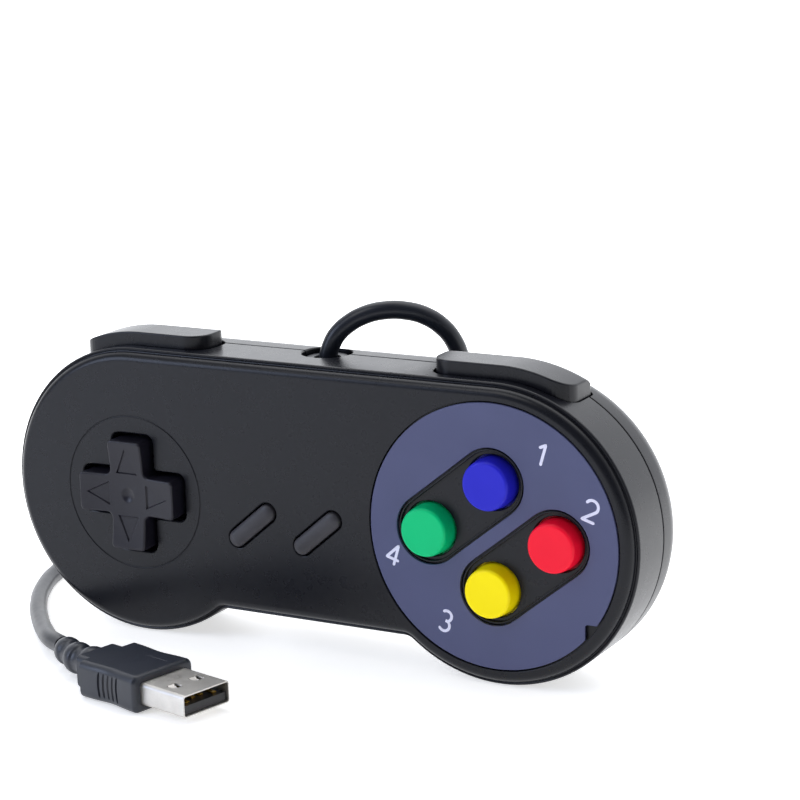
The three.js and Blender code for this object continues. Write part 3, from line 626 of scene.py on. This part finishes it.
FINISHES = {
    "case_black": moulded("satin_case", linear(18, 19, 25), 0.28, specular=0.24),
    "plate_lavender": moulded("satin_plate", linear(76, 80, 113), 0.42, mottle=0.03, specular=0.25),
    "control_black": moulded("satin_control", linear(27, 26, 35), 0.32, specular=0.28),
    "button_green": moulded("gloss_green", linear(2, 192, 120), 0.36, mottle=0.03, specular=0.15),
    "button_blue": moulded("gloss_blue", linear(34, 34, 190), 0.36, mottle=0.03, specular=0.2),
    "button_red": moulded("gloss_red", linear(246, 14, 48), 0.36, mottle=0.03, specular=0.2),
    "button_yellow": moulded("gloss_yellow", linear(255, 232, 0), 0.36, mottle=0.02, specular=0.15),
    "pill_rubber": rubbery("pill_rubber", linear(52, 51, 56), 0.48),
    "membrane_rubber": rubbery("membrane_rubber", linear(140, 143, 148), 0.7),
    "circuit_board": board_green(),
    "chip_black": moulded("chip_epoxy", linear(22, 22, 25), 0.5, grain=0.00003),
    "white_plastic": moulded("nylon_white", linear(222, 219, 208), 0.45),
    "ribbon": ribbed_ribbon(),
    "steel": metal("rolled_steel", linear(206, 203, 198), 0.46, (1, 8, 8)),
    "gold_contact": metal("plated_gold", linear(222, 178, 74), 0.24, (1, 10, 10)),
    "cord_black": jacket("cord_jacket", linear(28, 31, 39), 0.32),
    "plug_plastic": moulded("plug_overmould", linear(31, 35, 45), 0.38, grain=0.000012),
    "tongue_black": moulded("tongue_plastic", linear(28, 28, 30), 0.5),
}
INK = moulded("printed_ink", linear(214, 214, 236), 0.5, mottle=0.02)


# ---------------------------------------------------------------- finishing a piece

def creased(piece, angle):
    """Smooth shading that breaks at edges sharper than this angle, led by the larger faces."""
    shape = bmesh.new()
    shape.from_mesh(piece.data)
    bmesh.ops.dissolve_degenerate(shape, dist=0.0005, edges=shape.edges)
    limit = math.radians(angle)
    for face in shape.faces:
        face.smooth = True
    for edge in shape.edges:
        edge.smooth = len(edge.link_faces) == 2 and edge.calc_face_angle(0) < limit
    shape.to_mesh(piece.data)
    shape.free()
    weighted = piece.modifiers.new("weighted", "WEIGHTED_NORMAL")
    weighted.keep_sharp = True
    bake_modifiers(piece)


def install(piece, name, slot, body, nodes, material=None, angle=32):
    """Writes a piece in metres, gives it its finish, ties it to its body and hides the CAD nodes it
    replaces.
    """
    if piece.type == "MESH":
        creased(piece, angle)
        piece.data.transform(Matrix.Scale(MM, 4))
        piece.data.name = name
    piece.name = name
    piece.data.materials.clear()
    piece.data.materials.append(material or FINISHES[slot])
    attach(piece, body)
    if nodes:
        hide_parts(*nodes)
    return piece


# ---------------------------------------------------------------- the case

FACE_EDGE = [(2.6 - 1.75 * math.sin(t), 1.75 - 1.75 * math.cos(t)) for t in
             [math.radians(82 * i / 9) for i in range(10)]]
RIM = [(0.78, 1.72), (0.64, 1.78), (0.5, 1.72), (0.38, 1.66), (0.24, 1.68), (0.1, 1.8), (0.02, 2), (0, 2.2)]


def front_profile():
    parting = PARTING_DEPTH - GAP / 2
    return (
        FACE_EDGE
        + RIM
        + [(0, parting - 0.2), (0.06, parting - 0.05), (0.2, parting), (2.5, parting)]
        + [(2.5, LIP_END - 0.3), (2.8, LIP_END), (3.4, LIP_END), (3.4, 11.5), (WALL, 10.3), (WALL, WALL)]
    )


def back_profile():
    parting = PARTING_DEPTH + GAP / 2
    inner = BACK_EDGE - WALL
    turns = [math.radians(90 * i / 12) for i in range(13)]
    outside = [(BACK_EDGE - BACK_EDGE * math.cos(t), BACK_EDGE * math.sin(t)) for t in turns]
    inside = [(BACK_EDGE - inner * math.cos(t), inner * math.sin(t)) for t in reversed(turns)]
    start = CASE_DEPTH - BACK_EDGE
    return (
        [(inset, start + depth) for inset, depth in inside]
        + [(WALL, parting), (0.2, parting), (0.06, parting + 0.05), (0, parting + 0.2)]
        + [(inset, start + depth) for inset, depth in outside]
    )


def drop(x, radius):
    """How far a lobe's surface of this radius has fallen at x."""
    across = max(abs(x) - LOBE_X, 0)
    return radius - math.sqrt(radius ** 2 - across ** 2)


def shoulder_plan(grow, inner_grow):
    front = SHOULDER_FRONT_CORNER + grow
    return box_outline(
        SHOULDER_INNER - inner_grow,
        SHOULDER_FRONT - grow,
        SHOULDER_OUTER + grow,
        SHOULDER_BACK + grow,
        (front, front, 0.7, SHOULDER_BACK_CORNER + grow),
    )


def follow_lobe(piece, radius):
    for vertex in piece.data.vertices:
        vertex.co.z -= drop(vertex.co.x, radius)
    return piece


def lobe_steps(spacing=0.7):
    count = int((SHOULDER_OUTER - LOBE_X) / spacing) + 2
    return [LOBE_X + spacing * i for i in range(count)]


def shoulder_slot(side):
    profile = lip(LOBE_RADIUS, LOBE_RADIUS - 6.7, 0.2)
    slot = sliced(tower(shoulder_plan(0.3, 0.7), profile), 0, lobe_steps())
    return moved(follow_lobe(slot, LOBE_RADIUS), Matrix.Diagonal((side, 1, 1, 1)))


def cord_hole():
    return tower(circle(CORD_X, PARTING_DEPTH, CORD_HOLE), lip(LOBE_RADIUS, LOBE_RADIUS - 5, 0.4))


def inner_features(node, inset, front, back):
    """The bosses and ribs of a CAD shell, without its walls."""
    return common(from_frame(node), stack(case, [(inset, front), (inset, back)]))


def button_places():
    return [(middle(node).x, middle(node).z - LOBE_Z) for node in BUTTONS]


def button_pairs(radius):
    green, blue, red, yellow = button_places()
    return [capsule(green, blue, radius), capsule(yellow, red, radius)]


def plate_pocket():
    """The round pocket, less the two raised islands that fill the plate's openings."""
    pocket = stack(circle(LOBE_X, 0, PLATE_RADIUS + GAP, 144), lip(0, 0.9, 0.15))
    islands = [stack(pair, rounded_edge(0, 0.3, 0.2) + [(0, 3)]) for pair in button_pairs(ISLAND_RADIUS)]
    return cut(pocket, *islands)


def torus(x, rise, depth, radius, thickness, steps=180, sides=12):
    rings = []
    for i in range(steps):
        a = 2 * math.pi * i / steps
        ring = []
        for j in range(sides):
            b = 2 * math.pi * j / sides
            r = radius + thickness * math.cos(b)
            y = FACE_Y + depth + thickness * math.sin(b)
            ring.append((x + r * math.cos(a), y, LOBE_Z + rise + r * math.sin(a)))
        rings.append(ring)
    return loft(rings, closed=True)


def make_front_shell():
    shell = stack(case, front_profile())
    through = WALL + 1
    hole = PAD_CLEARANCE
    tools = [plate_pocket()]
    tools += [stack(pair, lip(0.3, 0.95, 0.18)) for pair in button_pairs(WELL_RADIUS)]
    tools += [stack(circle(x, z, BUTTON_HOLE), lip(0.95, through, 0.2)) for x, z in button_places()]
    tools += [stack(cross(PAD_REACH + hole, PAD_HALF_WIDTH + hole, 1.6, 0.9), lip(0, through, 0.5))]
    tools += [stack(pill(x, z, MENU_WIDTH / 2), lip(0, through, 0.35)) for x, z in MENU_PLACES]
    tools += [torus(PAD.x, 0, -0.02, PAD_RING_RADIUS, 0.17)]
    tools += [shoulder_slot(-1), shoulder_slot(1), cord_hole()]
    for left, right in ((CORD_X - 8, CORD_X + 8), (-58, -22), (22, 58)):
        inside = stack(case, [(WALL + 0.01, 8), (WALL + 0.01, LIP_END + 2)])
        tools.append(common(row_block(left, right, 9, LIP_END + 1, HINGE_RISE, LOBE_RADIUS), inside))
    cut(shell, *tools)
    joined(shell, inner_features("front_shell", 3.6, WALL - 0.1, LIP_END + 1))
    install(shell, "case_front", "case_black", "case", ["front_shell"])


def make_back_shell():
    shell = stack(case, back_profile())
    joined(shell, inner_features("back_shell", 3, PARTING_DEPTH, CASE_DEPTH - WALL + 0.1))
    tools = [shoulder_slot(-1), shoulder_slot(1), cord_hole()]
    tools += [stack(circle(x, z, 3, 48), lip(CASE_DEPTH, HEAD_SEAT, 0.3)) for x, z in SCREW_PLACES]
    cut(shell, *tools)
    install(shell, "case_back", "case_black", "case", ["back_shell"])


def screw_mesh():
    """A pan-head screw about Z, its tip at the low end and its crossed head at the high one."""
    head = HEAD_SEAT + GAP
    screw = turned(
        [(0, 6.5), (0.5, 6.7), (1.3, 7.6), (1.3, head), (2.5, head), (2.5, head + 0.9), (2.42, head + 1.2),
         (2.2, head + 1.45), (1.7, head + 1.68), (1, head + 1.78), (0, head + 1.8)],
        40,
    )
    slots = []
    for turn in (0, 90):
        wide, narrow = 1.25, 0.55
        rings = []
        for height, half, thick in ((head + 3, wide * 1.3, 0.34), (head + 0.5, narrow, 0.2)):
            rings.append([(-half, -thick, height), (half, -thick, height), (half, thick, height),
                          (-half, thick, height)])
        slots.append(moved(loft(rings), Matrix.Rotation(math.radians(turn), 4, "Z")))
    return cut(screw, *slots)


def make_screws():
    for i, (x, rise) in enumerate(SCREW_PLACES, 1):
        screw = set_in_face(screw_mesh(), x, rise)
        install(screw, f"screw_{i}", "steel", "case", [f"case_screw_{i}"])


def make_grommet():
    top = LOBE_RADIUS - 0.9
    radius = CORD_HOLE - GAP
    bore = CORD_RADIUS + 0.1
    grommet = turned([
        (0, 23.5), (radius - 0.2, 23.5), (radius, 23.7), (radius, 25.2), (6, 25.2), (6, 27.1),
        (radius, 27.1), (radius - 0.4, 28), (radius - 0.4, top - 0.35), (radius - 0.52, top - 0.1),
        (radius - 0.8, top), (2.9, top), (2.75, top - 0.05), (2.65, top - 0.2), (2.6, top - 0.9),
        (bore, top - 0.9), (bore, 27.6), (0, 27.6),
    ])
    moved(grommet, Matrix.Translation((CORD_X, FACE_Y + PARTING_DEPTH, LOBE_Z)))
    install(grommet, "grommet", "cord_black", "case", ["cord_grommet"])


# ---------------------------------------------------------------- the face's controls

def make_plate():
    plate = stack(circle(LOBE_X, 0, PLATE_RADIUS, 144), rounded_edge(0, 0, 0.16) + [(0, 0.6)])
    tools = [stack(pair, lip(0, 2, 0.14)) for pair in button_pairs(CAPSULE_RADIUS)]
    notch = box_outline(19.6, -18.6, 22.6, -15, (0.1, 0.1, 0.1, 0.6))
    tools += [stack(lambda inset: [(LOBE_X + x, z) for x, z in notch(inset)], [(0, -1), (0, 2)])]
    cut(plate, *tools)
    install(plate, "round_plate", "plate_lavender", "case", ["button_plate"])


def stroke(points, radius, depth=0.06):
    """A flat printed stroke with round ends, as a low ridge on the plate."""
    path = [Vector(points[0])]
    for a, b in zip(points, points[1:]):
        a, b = Vector(a), Vector(b)
        count = max(int((b - a).length / 0.12), 1)
        path += [a.lerp(b, (i + 1) / count) for i in range(count)]
    run = [0.0]
    for a, b in zip(path, path[1:]):
        run.append(run[-1] + (b - a).length)
    rings = []
    for i, place in enumerate(path):
        ahead = path[min(i + 1, len(path) - 1)] - path[max(i - 1, 0)]
        side = Vector((-ahead.y, ahead.x)).normalized()
        from_end = min(run[i], run[-1] - run[i])
        width = radius * math.sqrt(max(1 - max(1 - from_end / radius, 0) ** 2, 0.02))
        ring = []
        for j in range(8):
            a = 2 * math.pi * j / 8
            spot = place + side * width * math.cos(a)
            ring.append((spot.x, depth * math.sin(a) * width / radius, spot.y))
        rings.append(ring)
    return loft(rings)


def numeral_stroke(number):
    """A numeral 1 high, drawn in one stroke."""
    if number == 1:
        return [(0.1, 0.76), (0.38, 1), (0.38, 0)]
    if number == 2:
        return arc(0.31, 0.69, 0.31, 165, -28, 14) + [(0, 0), (0.64, 0)]
    if number == 3:
        return arc(0.29, 0.745, 0.255, 150, -80, 14) + arc(0.29, 0.27, 0.27, 80, -150, 14)
    return [(0.66, 0.3), (0, 0.3), (0.44, 1), (0.44, 0)]


def make_numerals():
    """Numbers 1 to 4 beside the buttons, leaning with the pairs."""
    height, lean, radius = 4.3, -17, 0.3
    for number, (x, rise) in zip((1, 2, 3, 4), ((11.1, 17.6), (21.2, 7.7), (-10.4, -18.3), (-21.7, -6.1))):
        centred = [((u - 0.32) * height, (v - 0.5) * height) for u, v in numeral_stroke(number)]
        placed = [(LOBE_X + x + u, LOBE_Z + rise + v) for u, v in rotated(centred, lean)]
        numeral = stroke(placed, radius)
        moved(numeral, Matrix.Translation((0, FACE_Y, 0)))
        install(numeral, f"numeral_{number}", "white_plastic", "case", [], INK)


def make_face_buttons():
    top = CONTROL_TOP
    for node, key in zip(BUTTONS, (20, 70, 110, 160)):
        x, rise = middle(node).x, middle(node).z - LOBE_Z
        crown = [(r, top + 0.1 * (1 - (r / 4.3) ** 2)) for r in (0, 1.2, 2.4, 3.4, 4.0)]
        edge = [(4.35 + 0.62 * math.sin(t), top + 0.02 + 0.75 * (1 - math.cos(t))) for t in
                [math.radians(90 * i / 8) for i in range(9)]]
        profile = crown + edge + [
            (BUTTON_RADIUS - 0.05, 0), (BUTTON_RADIUS, 2.5), (6.2, 2.5), (6.2, 3.7), (4.2, 3.7), (4.2, 5.2),
            (3, 5.2), (3, 0.2), (0, 0.2),
        ]
        button = set_in_face(turned(profile, 96), x, rise)
        keys = moved(block((-6.9, -1, 2.6), (6.9, 1, 3.6)), Matrix.Rotation(math.radians(-key), 4, "Z"))
        hollow = turned([(0, 2), (4, 2), (4, 4), (0, 4)])
        joined(button, set_in_face(cut(keys, hollow), x, rise))
        slot = "button_" + node.split("_")[0]
        install(button, node.replace("_button", "_cap"), slot, node, [node])


def make_menu_buttons():
    for node, (x, rise) in zip(("select_button", "start_button"), MENU_PLACES):
        radius = MENU_WIDTH / 2 - GAP
        top = -1
        crown = [(0.97 * radius, top)] + [
            (radius * (1 - math.cos(t)), top + 0.85 * (1 - math.sin(t))) for t in
            [math.radians(80 - 80 * i / 9) for i in range(10)]
        ]
        body = [(0, 2.6), (-1.3, 2.6), (-1.3, 3.6), (0.3, 3.6), (0.3, 5.4)]
        button = stack(pill(x, rise, radius), crown + body)
        install(button, node.replace("_button", "_pill"), "pill_rubber", node, [node])


DISH_DEPTH = 0.95
DISH_RADIUS = 11.4


def dish(radius):
    return DISH_DEPTH * max(1 - (radius / DISH_RADIUS) ** 2, 0)


def arrow_cutter(turn):
    """A shallow triangular recess that points along an arm, tilted to follow the dish."""
    base, tip, half = -2.5, 2.5, 2.35
    reach = 7.15

    def at(grow):
        return [(base - grow, -half - 1.6 * grow), (tip + 2.2 * grow, 0), (base - grow, half + 1.6 * grow)]

    rings = [[(x, y, z) for x, y in at(grow)] for grow, z in ((0.3, -1), (0.14, 0), (-0.05, 0.26))]
    slope = math.atan(2 * DISH_DEPTH * reach / DISH_RADIUS ** 2)
    lay = Matrix.Translation((reach, 0, dish(reach))) @ Matrix.Rotation(slope, 4, "Y")
    return set_in_face(
        moved(loft(rings), Matrix.Rotation(math.radians(turn), 4, "Z") @ lay), PAD.x, 0, PAD_TOP
    )


def make_pad():
    outline = cross(PAD_REACH, PAD_HALF_WIDTH, 0.9, 1.3)
    pad = stack(outline, rounded_edge(0, PAD_TOP, 0.4, 5) + [(0, 4.4)])
    spacing = 0.6
    ticks = [spacing * (i - 19) for i in range(39)]
    sliced(pad, 0, [PAD.x + t for t in ticks])
    sliced(pad, 2, [LOBE_Z + t for t in ticks])
    for vertex in pad.data.vertices:
        if vertex.co.y < FACE_Y:
            radius = math.hypot(vertex.co.x - PAD.x, vertex.co.z - LOBE_Z)
            vertex.co.y += dish(radius)
    dimple_start = dish(0)
    dimple = [(0, dimple_start + 0.42), (0.7, dimple_start + 0.36), (1.25, dimple_start + 0.18),
              (1.62, dimple_start - 0.02), (1.75, dimple_start - 0.5), (0, dimple_start - 0.5)]
    tools = [set_in_face(turned(dimple, 48), PAD.x, 0, PAD_TOP)]
    tools += [arrow_cutter(turn) for turn in (0, 90, 180, 270)]
    cut(pad, *tools)
    flange = set_in_face(
        turned([(0, 4.1), (12.8, 4.1), (13, 4.3), (13, 5.2), (2.5, 5.2), (2.5, 5.8), (0, 5.8)]), PAD.x, 0
    )
    joined(pad, flange)
    install(pad, "cross_pad", "control_black", "dpad", ["dpad"], angle=28)


# ---------------------------------------------------------------- the shoulder buttons

def make_shoulders():
    top = LOBE_RADIUS + SHOULDER_STEP
    bottom = LOBE_RADIUS - SHOULDER_SKIRT
    back_round = 2.8
    back_start = FACE_Y + SHOULDER_BACK - back_round
    for name, side in (("left", -1), ("right", 1)):
        node = f"{name}_shoulder_button"
        edge = [(inset, top - fall) for inset, fall in rounded_edge(0, 0, 0.32, 5)]
        cap = tower(shoulder_plan(0, 0), edge + [(0, bottom + 0.2), (0.2, bottom)])
        sliced(cap, 0, lobe_steps())
        sliced(cap, 1, [back_start + back_round * i / 8 for i in range(8)])
        for vertex in cap.data.vertices:
            over = (vertex.co.y - back_start) / back_round
            if over > 0 and vertex.co.z > LOBE_Z + top - 1:
                vertex.co.z -= back_round * (1 - math.sqrt(max(1 - min(over, 1) ** 2, 0))) * 0.75
        follow_lobe(cap, top)
        moved(cap, Matrix.Diagonal((side, 1, 1, 1)))
        inside = row_block(min(side * 22, side * 56), max(side * 22, side * 56), 6, 14.7, 15, bottom + 0.8)
        lever = common(from_frame(node), inside)
        joined(cap, lever)
        install(cap, f"{name}_shoulder_cap", "case_black", f"{name}_shoulder", [node])


# ---------------------------------------------------------------- the plug
# Plug pieces lie along X with the mouth at 0 and the rear at negative X, then move to their place.

PLUG_FRAME = Matrix.Translation(PLUG_MOUTH) @ Matrix.Rotation(math.radians(PLUG_TURN), 4, "Z")


def plug_ring(x, half_width, half_height, corner):
    outline = box_outline(-half_width, -half_height, half_width, half_height, (corner,) * 4)
    return [(x, y, z) for y, z in outline(0)]


def plug_grip():
    """The overmould: a waisted grip, then a smaller block behind a step."""
    width, height = PLUG_GRIP[0] / 2, PLUG_GRIP[1] / 2
    front = -PLUG_SHELL[2]
    rear = front - PLUG_GRIP[2]
    rings = []
    for i in range(7):
        t = math.radians(15 * i)
        shrink = 0.9 * (1 - math.sin(t))
        rings.append(plug_ring(front - 0.9 * (1 - math.cos(t)), width - shrink, height - shrink, 1.5))
    for i in range(1, 20):
        x = front - 0.9 - (PLUG_GRIP[2] - 1.6) * i / 20
        waist = 0.45 * math.exp(-((x - (front - 8)) / 4) ** 2)
        rings.append(plug_ring(x, width - waist, height - 0.15 * waist, 1.5))
    for i in range(6):
        t = math.radians(18 * (5 - i))
        shrink = 0.7 * (1 - math.sin(t))
        rings.append(plug_ring(rear + 0.7 * math.sin(t) * 0.9, width - shrink, height - shrink, 1.5))
    block_width, block_height = 5.25, 3.4
    rings.append(plug_ring(rear, block_width + 0.35, block_height, 1.3))
    rings.append(plug_ring(rear - 0.3, block_width, block_height, 1.3))
    for i in range(6):
        t = math.radians(18 * (5 - i))
        shrink = 0.8 * (1 - math.sin(t))
        x = rear - 4 + 0.8 * math.sin(t)
        rings.append(plug_ring(x, block_width - shrink, block_height - shrink, 1.3))
    return loft(rings)


def plug_grooves():
    """Five bowed grip grooves on each side."""
    tools = []
    half = PLUG_GRIP[0] / 2 - 0.42
    for side in (-1, 1):
        for i in range(5):
            x = -PLUG_SHELL[2] - 5.2 - 1.3 * i
            rings = []
            for k in range(13):
                z = -2.7 + 5.4 * k / 12
                bow = -0.35 * (1 - (z / 2.7) ** 2)
                size = 0.3 * math.sqrt(max(1 - abs(z / 2.75) ** 6, 0.01))
                centre = Vector((x + bow, side * (half + 0.16), z))
                rings.append([
                    centre + Vector((size * math.cos(a), 1.6 * size * math.sin(a), 0))
                    for a in [2 * math.pi * j / 10 for j in range(10)]
                ])
            tools.append(loft(rings))
    return tools


def relief_radius(run):
    """Rings and grooves in turn, each smaller than the last."""
    swing = math.cos(2 * math.pi * (run - 1.4) / 5.2)
    ridge = 0.5 + 0.5 * math.copysign(abs(swing) ** 0.55, swing)
    return 2.75 - 0.045 * run + (0.95 - 0.025 * run) * ridge


def plug_relief():
    """The strain relief, which bends towards the cord."""
    length, bend = 14.6, 28
    count = 73
    spot = Vector((-PLUG_SHELL[2] - PLUG_GRIP[2] - 3.2, 0, 0))
    rings = []
    for i in range(count + 1):
        run = length * i / count
        heading = math.radians(180 - bend * run / length)
        ahead = Vector((math.cos(heading), math.sin(heading), 0))
        side = Vector((-ahead.y, ahead.x, 0))
        radius = relief_radius(run)
        radius *= math.sqrt(max(1 - max((run - length + 0.9) / 0.9, 0) ** 2, 0.55))
        rings.append([
            spot + side * radius * math.cos(a) + Vector((0, 0, radius * math.sin(a)))
            for a in [2 * math.pi * j / 32 for j in range(32)]
        ])
        spot = spot + ahead * length / count
    return loft(rings)


def make_plug_body():
    grip = plug_grip()
    joined(grip, plug_relief())
    front = -PLUG_SHELL[2]
    half_width, half_height = PLUG_SHELL[0] / 2 + 0.08, PLUG_SHELL[1] / 2 + 0.08
    pocket = loft([plug_ring(x, half_width, half_height, 0.7) for x in (front - 3.2, front + 1)])
    line = loft([
        [(x, 3.1 + 0.14 * math.cos(a), 3.82 + 0.14 * math.sin(a)) for a in
         [2 * math.pi * j / 10 for j in range(10)]]
        for x in (front - 8.6, front - 2.4)
    ])
    cut(grip, pocket, line, *plug_grooves())
    moved(grip, PLUG_FRAME)
    return install(grip, "plug_overmould", "plug_plastic", "case", ["usb_plug_body"], angle=40)


def make_plug_shell():
    """The folded steel shell, with its two windows, their sprung tongues, and the seam of its fold."""
    half_width, half_height, length = PLUG_SHELL[0] / 2, PLUG_SHELL[1] / 2, PLUG_SHELL[2]
    wall, rear, corner = 0.35, -length - 2.7, 0.75
    tube = loft(
        [
            plug_ring(rear, half_width - wall, half_height - wall, corner - wall),
            plug_ring(rear, half_width, half_height, corner),
            plug_ring(-0.12, half_width, half_height, corner),
            plug_ring(-0.03, half_width - 0.04, half_height - 0.04, corner - 0.04),
            plug_ring(0, half_width - 0.12, half_height - 0.12, corner - 0.12),
            plug_ring(0, half_width - wall + 0.08, half_height - wall + 0.08, corner - wall + 0.08),
            plug_ring(-0.3, half_width - wall, half_height - wall, corner - wall),
        ],
        closed=True,
    )
    tools = []
    for across in (-2.8, 2.8):
        for up in (-1, 1):
            window = box_outline(-7, across - 1.15, -4.6, across + 1.15, (0.35,) * 4)(0)
            low, high = sorted((up * (half_height - 0.7), up * (half_height + 0.7)))
            tools.append(loft([[(x, y, z) for x, y in window] for z in (low, high)]))
    top = half_height
    tools.append(block((-length - 1, -0.05, top - 0.09), (-8.4, 0.05, top + 1)))
    tools.append(block((-8.5, -1.5, top - 0.09), (-8.4, 1.5, top + 1)))
    for across in (-1.5, 1.4):
        tools.append(block((-9.6, across, top - 0.09), (-8.4, across + 0.1, top + 1)))
    cut(tube, *tools)
    tongues = []
    for across in (-2.8, 2.8):
        for up in (-1, 1):
            rings = []
            for i in range(9):
                t = i / 8
                x = -6.95 + 1.9 * t
                dip = 0.5 * math.sin(math.pi * t * 0.75)
                z = up * (half_height - wall / 2 - dip)
                rings.append([(x, across - 0.75, z - 0.1), (x, across + 0.75, z - 0.1),
                              (x, across + 0.75, z + 0.1), (x, across - 0.75, z + 0.1)])
            tongues.append(loft(rings))
    joined(tube, *tongues)
    moved(tube, PLUG_FRAME)
    return install(tube, "plug_sleeve", "steel", "case", ["usb_plug_shell"], angle=30)


def make_tie():
    """A flat strap round the coil's bundle of turns, with rounded edges."""
    half, corner = 6.6, 2.6
    rings = []
    section = [(0.8, -1.7), (0.66, -1.93), (0.4, -2), (0.14, -1.93), (0, -1.7),
               (0, 1.7), (0.14, 1.93), (0.4, 2), (0.66, 1.93), (0.8, 1.7)]
    outline = box_outline(-half, 0.05, half, 2 * half + 0.05, (corner,) * 4)
    for inset, across in section:
        rings.append([(COLUMNS[1] + r, across, z) for r, z in outline(inset)])
    tie = loft(rings, closed=True)
    turn = Matrix.Rotation(math.radians(TIE_ANGLE), 4, "Z")
    moved(tie, Matrix.Translation((COIL.x, COIL.y, 0)) @ turn)
    return install(tie, "coil_strap", "cord_black", "case", ["coil_tie"], FINISHES["pill_rubber"])


make_front_shell()
make_back_shell()
make_screws()
make_grommet()
make_plate()
make_numerals()
make_face_buttons()
make_menu_buttons()
make_pad()
make_shoulders()
plug_body = make_plug_body()
plug_shell = make_plug_shell()
tie = make_tie()
install(cord, "cord", "cord_black", "case", ["cord_lead", "cord_coil", "cord_tail"])

ON_CORD = [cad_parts["usb_plug_insulator"]]
ON_CORD += [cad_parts[f"usb_contact_{i}"] for i in (1, 2, 3, 4)]

# ---------------------------------------------------------------- the kept inner nodes

KEPT = {
    "circuit_board": ["main_board", "left_shoulder_board", "right_shoulder_board"],
    "chip_black": ["controller_chip", "filter_capacitor", "left_shoulder_switch", "right_shoulder_switch"],
    "steel": ["clock_crystal", "dpad_pivot_ball", "left_shoulder_pin", "right_shoulder_pin"],
    "white_plastic": ["cord_socket", "lead_connector"],
    "membrane_rubber": ["face_button_membrane", "menu_membrane", "dpad_membrane"],
    "ribbon": ["left_shoulder_ribbon", "right_shoulder_ribbon"],
    "cord_black": ["inner_lead"],
    "tongue_black": ["usb_plug_insulator"],
    "gold_contact": ["usb_contact_1", "usb_contact_2", "usb_contact_3", "usb_contact_4"],
}
for slot, nodes in KEPT.items():
    for node in nodes:
        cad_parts[node].data.materials.clear()
        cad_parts[node].data.materials.append(FINISHES[slot])


# ---------------------------------------------------------------- floor and light

def make_floor():
    size = 6000
    floor = loft([
        [(-size, -size, z), (size, -size, z), (size, size, z), (-size, size, z)] for z in (-20, 0)
    ])
    floor.name = "floor"
    floor.data.transform(Matrix.Scale(MM, 4))
    paper = Surface("white_paper", (0.9, 0.9, 0.9), 0.55)
    paper.vary_colour(paper.noise(9, 2), 0.01)
    split = paper.nodes.new("ShaderNodeSeparateXYZ")
    paper.links.new(paper.place, split.inputs["Vector"])
    glow = paper.spread(split.outputs["Y"], -0.06, 0.12, 0.42, 1.1)
    paper.shader.inputs["Emission Color"].default_value = (1, 1, 1, 1)
    paper.links.new(glow, paper.shader.inputs["Emission Strength"])
    floor.data.materials.append(paper.material)


def area_light(name, place, aim, width, height, power, colour=(1, 1, 1)):
    data = bpy.data.lights.new(name, "AREA")
    data.shape = "RECTANGLE"
    data.size = width
    data.size_y = height
    data.energy = power
    data.color = colour
    light = bpy.data.objects.new(name, data)
    direction = Vector(aim) - Vector(place)
    light.matrix_world = Matrix.Translation(place) @ direction.to_track_quat("-Z", "Y").to_matrix().to_4x4()
    SCENE.collection.objects.link(light)


def make_world():
    """A white studio: brightest behind the object, dim in front of it."""
    world = bpy.data.worlds.new("studio")
    SCENE.world = world
    world.use_nodes = True
    nodes, links = world.node_tree.nodes, world.node_tree.links
    background = nodes["Background"]
    background.inputs["Color"].default_value = (0.94, 0.96, 1, 1)
    place = nodes.new("ShaderNodeTexCoord").outputs["Generated"]
    split = nodes.new("ShaderNodeSeparateXYZ")
    links.new(place, split.inputs["Vector"])
    spread = nodes.new("ShaderNodeMapRange")
    for socket, value in zip(("From Min", "From Max", "To Min", "To Max"), (-0.4, 0.75, 0.14, 2.0)):
        spread.inputs[socket].default_value = value
    links.new(split.outputs["Y"], spread.inputs["Value"])
    links.new(spread.outputs["Result"], background.inputs["Strength"])


make_floor()
make_world()
area_light("overhead", (0.0, 0.3, 0.9), (0, 0, 0), 1.2, 0.6, 3.6)
area_light("left", (-0.5, -0.5, 0.3), (-0.06, 0, 0.03), 0.3, 0.4, 2.2, (0.66, 0.76, 1))
area_light("key", (-0.35, -0.6, 1.0), (0, 0, 0.03), 0.5, 0.5, 2.6)
SCENE.view_settings.view_transform = "Standard"
